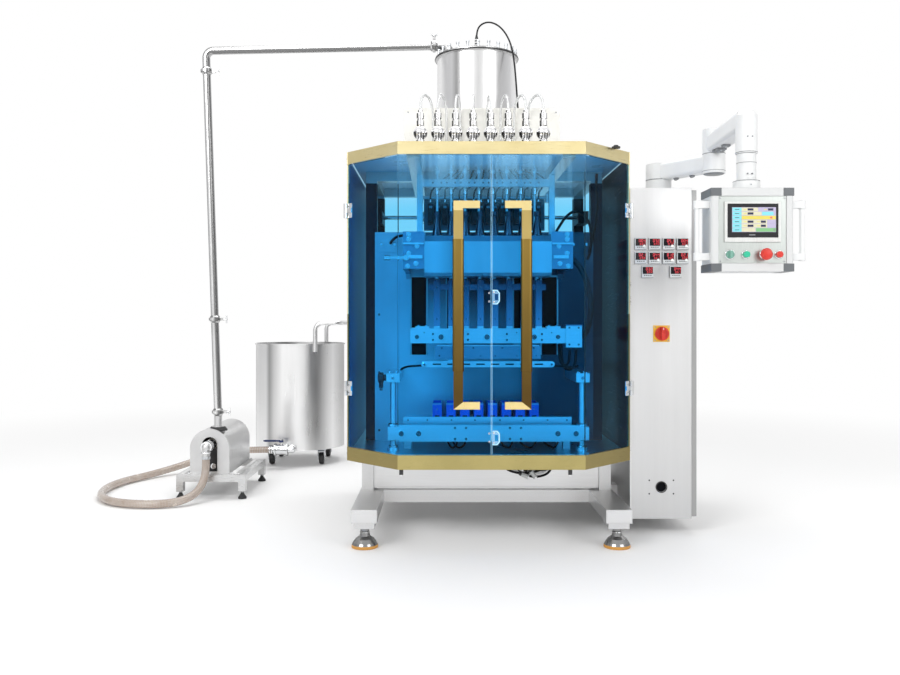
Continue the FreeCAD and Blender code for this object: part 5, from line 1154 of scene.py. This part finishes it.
def build_controllers():
    """Faces, windows, digits, dials and keys of the temperature controllers."""
    piece = Piece("controller_faces", "root", "dark_plastic")
    pitch = 57.5
    places = [(column, 1187 - step * pitch) for column in (-1.5, -0.5, 0.5, 1.5) for step in (0, 1)]
    places += [(column, 1072) for column in SIDES]
    for number, (column, z) in enumerate(places):
        x = CABINET_X + column * pitch
        piece.block("light_plastic", x, 236.6, z - 24, 48, 1.6, 48)
        piece.block("black_glass", x, 235.8, z - 8, 42, 1.4, 29)
        for place, digit in enumerate((0, number % 6, (number * 2 + 3) % 6)):
            draw_digit(piece, x - 4 + place * 9.6, 235.2, z + 7, 5.6, 10.5, DIGITS[digit])
            draw_digit(piece, x - 1 + place * 8, 235.2, z - 5, 4, 7, DIGITS[(digit + place) % 6])
        piece.block("red_lamp", x + 13, 235.5, z + 3.2, 15, 0.5, 1)
        if number < 8 and number not in (1, 2):
            piece.lathe("milk_plastic", (x + 14, 235.6, z - 9), FRONT, [(0, 1.4), (5, 1.2), (5.6, 0)], 16)
        for place in range(4):
            piece.block("dark_plastic", x - 12.6 + place * 8.4, 235.8, z - 15.5, 5, 1, 3.2)
        piece.block("grey_plastic", x, 236.2, z - 23, 44, 0.6, 1)
    piece.done(0.25)


def build_switch_details():
    switch_z = 820
    piece = Piece("switch_marks", "root", "yellow_plate")
    piece.screws("zinc", spots(pair(27, CABINET_X), 241, pair(27, switch_z)), FRONT, 3, 2)
    piece.done()
    knob = Piece("switch_knob_details", "main_switch", "red_plastic")
    collar = [(20, -2), (26.5, -2), (24, 3), (20, 3.5)]
    knob.lathe("red_plastic", (CABINET_X, 230, switch_z), FRONT, collar, 36)
    knob.block("white_paint", CABINET_X, 207.9, switch_z + 16, 3, 1, 8)
    knob.done(0.5)


def build_cabinet_details():
    """Cable inlet, seams, louvres and back plate of the cabinet, and the lock rings of its door."""
    inlet_z = 192
    piece = Piece("cabinet_details", "root", "stainless")
    seal = [(19.7, -2), (23.5, -2), (23.5, 2.2), (19.7, 3)]
    piece.lathe("black_rubber", (CABINET_X, 244, inlet_z), FRONT, seal, 36)
    # Painted shade in the cable inlet and its screw holes.
    piece.rod("hollow_shade", (CABINET_X, 249, inlet_z), (CABINET_X, 251, inlet_z), 21)
    for x, y, z in spots(pair(49.5, CABINET_X), 244.4, pair(27.5, inlet_z)):
        piece.rod("hollow_shade", (x, y, z), (x, 246.5, z), 3.2)
    piece.block("sheet_steel", 583, 243.6, 64, 5, 1.4, 1350)
    piece.block("cabinet_steel", 706, 262, 1417, 246, 740, 1.5)
    for y in (400, 640, 880):
        piece.block("dark_steel", 579.4, y, 300, 1.2, 90, 3)
    for x, y, row in spots(579.5, (520, 820), range(9)):
        piece.block("dark_steel", x, y, 1180 + row * 14, 1.2, 120, 4)
    piece.block("cabinet_steel", 706, 1035, 420, 200, 2, 620)
    piece.screws("zinc", spots((616, 796), 1037, (430, 730, 1030)), BACK, 4, 3)
    piece.done(0.4)
    door = Piece("cabinet_door_details", "cabinet_side_door", "stainless")
    for z in (482, 997):
        door.ring("zinc", (858.2, 285, z), RIGHT, 11, 1.6)
        door.block("dark_plastic", 858, 283.6, z - 6, 1.4, 2.8, 12)
    for y in (300, 640, 980):
        door.block("sheet_steel", 853.3, y, 74, 1, 2, 1330)
    door.done(0.3)


# Operator panel and its arm

SCREEN_FRONT = -335
# Fields of each row of the screen as their ends and colours, and its boxes as their places and widths
SCREEN_ROWS = (
    (((837, 893, "cream"), (893, 954, "lilac")), ((867, 20), (936, 18))),
    (((837, 905, "cream"), (907, 946, "cyan")), ((867, 20),)),
    (((837, 954, "yellow"),), ()),
    (((837, 924, "cream"), (926, 954, "lilac")), ((867, 20), (911, 17))),
    (((837, 924, "cream"), (926, 954, "lilac")), ((867, 20), (911, 17))),
    (((837, 884, "cream"), (886, 954, "green")), ()),
)


def build_screen():
    """The lit screen: plain coloured fields in rows, without text."""
    near, nearer, top_layer = SCREEN_FRONT - 0.9, SCREEN_FRONT - 1.2, SCREEN_FRONT - 1.3
    piece = Piece("screen", "operator_panel", "dark_plastic")
    piece.block("black_glass", PANEL_X, SCREEN_FRONT, 1159, 174, 2, 116)
    piece.block("lilac_field", 879.3, SCREEN_FRONT - 0.4, 1177.5, 150.4, 0.8, 85)
    for row, (fields, boxes) in enumerate(SCREEN_ROWS):
        z = 1248 - row * 14
        piece.block("cyan_field", 821, near, z + 0.8, 31, 0.7, 12.4)
        piece.block("navy_field", 821, nearer, z + 5.8, 15, 0.4, 2)
        for left, right, colour in fields:
            piece.block(colour + "_field", (left + right) / 2, near, z + 0.8, right - left, 0.7, 12.4)
        for x, width in boxes:
            piece.block("navy_field", x, top_layer, z + 3.2, width, 0.6, 7.6)
            piece.block("yellow_field", x - width / 2 - 8, top_layer, z + 5.8, 10, 0.6, 2)
    piece.block("red_digits", 938, top_layer, 1224, 8, 0.6, 6)
    piece.block("grey_plastic", 948, top_layer, 1182, 5, 0.6, 6)
    piece.block("grey_plastic", 873, SCREEN_FRONT - 0.3, 1166, 22, 0.5, 3.6)
    piece.done(0.2)


def build_panel_fittings():
    """Rings round the buttons, screws, side seams and back plate of the operator panel."""
    piece = Piece("panel_fittings", "operator_panel", "painted_frame")
    for x, bore in ((799, 14.4), (854, 11.5), (916, 12.5), (967, 11.5)):
        section = [(bore, 0.2), (bore + 3.4, 0.2), (bore + 3.4, 1.6), (bore + 1.8, 3.2), (bore, 3.2)]
        piece.lathe("chrome", (x, -328, 1101), FRONT, section, 36)
    piece.screws("zinc", spots((766, 986), -328, (1078, 1295)), FRONT, 2.8, 2)
    for side in SIDES:
        piece.block("mid_grey", PANEL_X + side * 142.2, -310, 1100, 1.2, 70, 170)
        x = PANEL_X + side * 8
        piece.rod("dark_steel", (x, -308.5, 1383), (x, -300, 1383), 2.2, sides=12)
    piece.ring("grey_plastic", (PANEL_X, PANEL_Y, 1360), UP, 45, 1.2, 40)
    piece.ring("grey_plastic", (PANEL_X, PANEL_Y, 1424), UP, 33.2, 1.0, 40)
    piece.screws("zinc", [(PANEL_X, -315.6, 1344)], FRONT, 3, 2)
    piece.block("grey_plastic", PANEL_X, -213, 1080, 200, 2, 210)
    piece.screws("zinc", spots((790, 962), -211, (1090, 1280)), BACK, 3, 2)
    piece.done(0.4)


def build_arm_details():
    """Seams of the arm's joints, cable holders below its arms, and the screws of its base."""
    lower = Piece("arm_lower_details", "lower_arm", "white_paint")
    cap = [(0, 4), (34, 4), (38, 2.5), (40, 0)]
    lower.lathe("grey_plastic", (ELBOW_X, ELBOW_Y, 1456.2), DOWN, cap, 44)
    lower.ring("grey_plastic", (ELBOW_X, ELBOW_Y, 1466), UP, 43.6, 1.2, 44)
    lower.ring("grey_plastic", (ARM_X, ARM_Y, 1466), UP, 52.6, 1.4, 44)
    for share in (0.33, 0.62):
        x, y = ARM_X + (ELBOW_X - ARM_X) * share, ARM_Y + (ELBOW_Y - ARM_Y) * share
        lower.rod("grey_plastic", (x, y, 1466), (x + 2, y - 3, 1458), 12, 10)
    lower.done(0.5)
    upper = Piece("arm_upper_details", "upper_arm", "white_paint")
    upper.ring("grey_plastic", (ELBOW_X, ELBOW_Y, 1534), UP, 43.6, 1.3, 44)
    upper.ring("grey_plastic", (PANEL_X, PANEL_Y, 1461), UP, 36.6, 1.4, 40)
    for share in (0.16, 0.24, 0.40):
        x, y = ELBOW_X + (PANEL_X - ELBOW_X) * share, ELBOW_Y + (PANEL_Y - ELBOW_Y) * share
        upper.block("grey_plastic", x, y - 12, 1531, 52 - share * 60, 24, 9)
        upper.screws("zinc", [(x, y, 1531)], DOWN, 4, 3)
    for x in pair(8, PANEL_X):
        upper.rod("dark_steel", (x, -308.6, 1512), (x, -300, 1512), 2.2, sides=12)
    upper.done(0.5)
    base = Piece("arm_base_details", "root", "white_paint")
    base.lathe("zinc", (ARM_X, ARM_Y, 1417), UP, [(53, 0), (60, 0), (60, 5), (53, 7)], 44)
    feet = [(ARM_X + across, ARM_Y + along, 1422) for across, along in circle(56.5, 6)]
    base.screws("zinc", feet, UP, 2.4, 3)
    base.done(0.3)


# Hopper, pump and tank

WING_NUT = [(0, 0), (9, 0), (9, 7), (4, 9), (0, 9)]


def build_hopper_details():
    """Gasket and clamps of the lid, seams, leg flanges and outlet valve of the hopper."""
    piece = Piece("hopper_details", "root", "polished")
    piece.ring("black_rubber", (HOPPER_X, HOPPER_Y, 2143), UP, 200, 4.2, 72)
    piece.ring("hopper_steel", (HOPPER_X, HOPPER_Y, 1790), UP, 191.5, 1.8, 72)
    clamp = [(0, 0), (9, 0), (9, 4), (6, 6), (6, 24), (8, 25), (8, 33), (0, 35)]
    clamps = circle(190, 24)
    for across, along in clamps[:12] + clamps[13:]:
        piece.lathe("zinc", (HOPPER_X + across, HOPPER_Y + along, 2148), UP, clamp, 14)
    leg_out = 113.1
    for x, y, z in spots(pair(leg_out, HOPPER_X), pair(leg_out, HOPPER_Y), ROOF_TOP):
        piece.lathe("zinc", (x, y, z), UP, [(14, 0), (28, 0), (28, 6), (18, 10), (14, 12)], 24)
        piece.bolts("zinc", spots(pair(20, x), y, 1553), UP, 4, 4)
    piece.ring("chrome", (HOPPER_X, HOPPER_Y, 1622), UP, 42, 4, 32)
    piece.disc("chrome", (HOPPER_X, HOPPER_Y - 42, 1586), FRONT, 9, 0, 14, 16)
    piece.block("blue_lever", HOPPER_X, HOPPER_Y - 62, 1583, 84, 8, 6)
    piece.done(0.6)


def build_lid():
    """The hopper's lid with its port and the slim level sensor, in place of the plainer lid node."""
    piece = Piece("lid_and_sensor", "root", "polished")
    lid = [(0, 0), (202, 0), (202, 6), (172, 18), (96, 31), (0, 34)]
    piece.lathe("pipe_steel", (HOPPER_X, HOPPER_Y, 2145), UP, lid, 72)
    piece.disc("chrome", (-150, HOPPER_Y, 2149), UP, 25, 0, 25, 32)
    piece.lathe("zinc", (HOPPER_X, HOPPER_Y, 2176), UP, [(0, 0), (17, 0), (17, 9), (12, 12), (0, 12)], 6)
    piece.rod("white_paint", (HOPPER_X, HOPPER_Y, 2184), (HOPPER_X, HOPPER_Y, 2246), 8)
    for z in (2192, 2206, 2220, 2234):
        piece.lathe("dark_plastic", (HOPPER_X, HOPPER_Y, z), UP, [(7, 0), (9.4, 0.5), (9.4, 5.5), (7, 6)], 24)
    cap = [(0, 3), (8, 3), (8, 8), (5.5, 18), (4.3, 24)]
    piece.lathe("dark_plastic", (HOPPER_X, HOPPER_Y, 2243), UP, cap, 20)
    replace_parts(piece.done(0.8), "hopper_lid")


def build_pipe_details():
    """Bolts with wing nuts at the clamps of the feed pipe, and the ring of its port."""
    piece = Piece("pipe_details", "root", "polished")
    for z in (410, 871, 2105):
        x = -1303 - 60 * (z - 400) / 1814
        piece.rod("chrome", (x + 40, PIPE_Y, z + 8), (x + 62, PIPE_Y, z + 8), 4)
        piece.lathe("chrome", (x + 52, PIPE_Y, z + 8), RIGHT, WING_NUT, 6)
        for wing in (-12, 14):
            piece.block("chrome", x + 57, PIPE_Y - 2, z + wing, 7, 4, 14)
    x, y = -227, PIPE_Y - 80 * (1128 / 1213)
    piece.rod("chrome", (x, y, 2254), (x, y, 2278), 4)
    piece.lathe("chrome", (x, y, 2262), UP, WING_NUT, 6)
    for wing in (-11, 11):
        piece.block("chrome", x + wing, y - 2, 2266, 12, 4, 9)
    piece.ring("chrome", (-150, HOPPER_Y, 2180), UP, 25, 3, 28)
    piece.done(0.5)


def build_pump_details():
    """Pipe boot, inlet flange, hose clamps, feet, brackets and back plate of the pump."""
    inlet_y, hose_end = 890, 202
    piece = Piece("pump_details", "root", "stainless")
    boot = [(19.5, 16), (34, 16), (46, 2), (46, -3), (19.5, -3)]
    piece.lathe("black_rubber", (-1303, PIPE_Y, 329), UP, boot, 36)
    # A dark plate inside the pump's slot: painted shade of its depth.
    piece.block("dark_steel", PUMP_X, 1086, 130, 74, 1.6, 150)
    piece.ring("cream_paint", (PUMP_X, 997, PUMP_Z), FRONT, 27, 3, 32)
    flange = [(PUMP_X + across, 998, PUMP_Z + up) for across, up in circle(24, 6)]
    piece.bolts("chrome", flange, FRONT, 3.6, 4)
    for y in (900, 942):
        piece.sleeve("chrome", (PUMP_X, y, PUMP_Z), FRONT, 19.2, 27, -6, 6)
    piece.ring("chrome", (PUMP_X, inlet_y, 232), UP, 20, 4, 28)
    piece.sleeve("zinc", (PUMP_X, inlet_y, hose_end), UP, 19.4, 22, 0, 12)
    piece.block("zinc", PUMP_X, inlet_y - 24, hose_end + 2, 8, 6, 8)
    piece.bolts("chrome", [(PUMP_X + 12, 982, 152)], FRONT, 9, 9)
    piece.rod("dark_plastic", (-1350, 990, 131), (-1350, 1080, 131), 10)
    piece.rod("dark_plastic", (-1362, 1000, 132), (-1300, 1000, 132), 7)
    for side in SIDES:
        for y in (963, 1396):
            piece.block("sheet_steel", PUMP_X + side * 104, y, 118, 18, 14, 4)
            piece.bolts("zinc", [(PUMP_X + side * 106, y + 6, 122)], UP, 4, 4)
        piece.screws("zinc", spots(PUMP_X + side * 62, 1406, (150, 290)), BACK, 4, 3)
        piece.block("sheet_steel", PUMP_X + side * 134, 965, 117, 20, 426, 3)
    piece.block("sheet_steel", PUMP_X, 1404, 136, 150, 2, 170)
    for x, y, z in spots((-1471, -1168), (948, 1408), 0.3):
        sole = [(0, 0), (20.6, 0), (20.6, 7), (10, 22), (8, 26), (0, 26)]
        piece.lathe("black_rubber", (x, y, z), UP, sole, 24)
        piece.disc("zinc", (x, y, 26), UP, 8.5, 0, 10, 6)
    piece.done(0.6)


def build_tank_details():
    """Seams, handle ends, caster plates and valve flanges of the tank, and the sleeve of its lever."""
    caster_out = 150
    piece = Piece("tank_details", "root", "polished")
    piece.ring("vessel_steel", (TANK_X, TANK_Y, 729), UP, 270.5, 3.5, 80)
    piece.ring("vessel_steel", (TANK_X, TANK_Y, 102), UP, 268.5, 2, 80)
    for side in SIDES:
        piece.ball("dark_steel", (-940, TANK_Y + side * 248, 684), 13.2, (1, 1, 0.4))
    corners = spots(pair(caster_out, TANK_X), pair(caster_out, TANK_Y), 94)
    for x, y, z in corners:
        piece.block("zinc", x, y - 32, z, 64, 64, 5)
        piece.bolts("zinc", spots(pair(24, x), y - 24, z), DOWN, 4, 4)
    for x, outward in ((-1165, LEFT), (-1099, RIGHT)):
        flange = [(x, DRAIN_Y + along, DRAIN_Z + up) for along, up in circle(31, 6, 30)]
        piece.bolts("zinc", flange, outward, 3.4, 3)
    for x in (-1182, -1194):
        piece.sleeve("chrome", (x, DRAIN_Y, DRAIN_Z), RIGHT, 19.2, 25, -4, 4)
    piece.ring("chrome", (TANK_X, 1785, DRAIN_Z), BACK, 20, 4, 32)
    piece.done(0.5)
    lever = Piece("lever_sleeve", "drain_lever", "blue_lever")
    lever.block("blue_lever", -1192, DRAIN_Y - 9.5, 162.4, 66, 19, 10)
    lever.bolts("chrome", [(-1129, DRAIN_Y, 172.4)], UP, 8, 6)
    lever.done(2.5)
    for number, (x, y, z) in enumerate(corners, start=1):
        build_caster(number, x, y)


def build_caster(number, x, y):
    """Axle ends and head bearing of a caster's fork, and the hub rings of its wheel."""
    trail, axle_z = 24, 37.5
    fork = Piece("caster_axle_%d" % number, "caster_%d" % number, "painted_frame")
    wheel = Piece("wheel_hub_%d" % number, "wheel_%d" % number, "black_rubber")
    for side in SIDES:
        fork.bolts("chrome", [(x + side * 19, y + trail, axle_z)], (side, 0, 0), 6, 4)
        wheel.ring("grey_plastic", (x + side * 10.4, y + trail, axle_z), (side, 0, 0), 20, 1.6, 28)
    fork.lathe("dark_steel", (x, y, 83), UP, [(17.5, 0), (22, 2), (22, 8), (17.5, 10)], 24)
    fork.done(0.3)
    wheel.done()


bpy.context.scene.view_settings.view_transform = "Standard"
build_camera()
build_world()
build_lamp("key", (-3.4, -5.6, 4.6), (0.1, -0.6, 0.9), (3.2, 2.4), 185)
build_lamp("fill", (3.8, -4.8, 3.0), (0.3, -0.6, 0.9), (2.6, 2.6), 80)
build_lamp("top", (0.2, 0.6, 5.4), (0.1, 0.0, 0.0), (4.0, 3.0), 125)
build_floor()
build_cords()
dress_nodes()
build_door_edges(-1, "left_door")
build_door_edges(1, "right_door")
for build in (build_guard_trim, build_guide_details, build_valve_bank, build_panel_details,
              build_seal_details, build_cutter_details, build_carriage_details, build_chute_details,
              build_inner_lines, build_base_details, build_body_details, build_controllers,
              build_switch_details, build_cabinet_details, build_screen, build_panel_fittings,
              build_arm_details, build_hopper_details, build_lid, build_pipe_details, build_pump_details,
              build_tank_details):
    build()
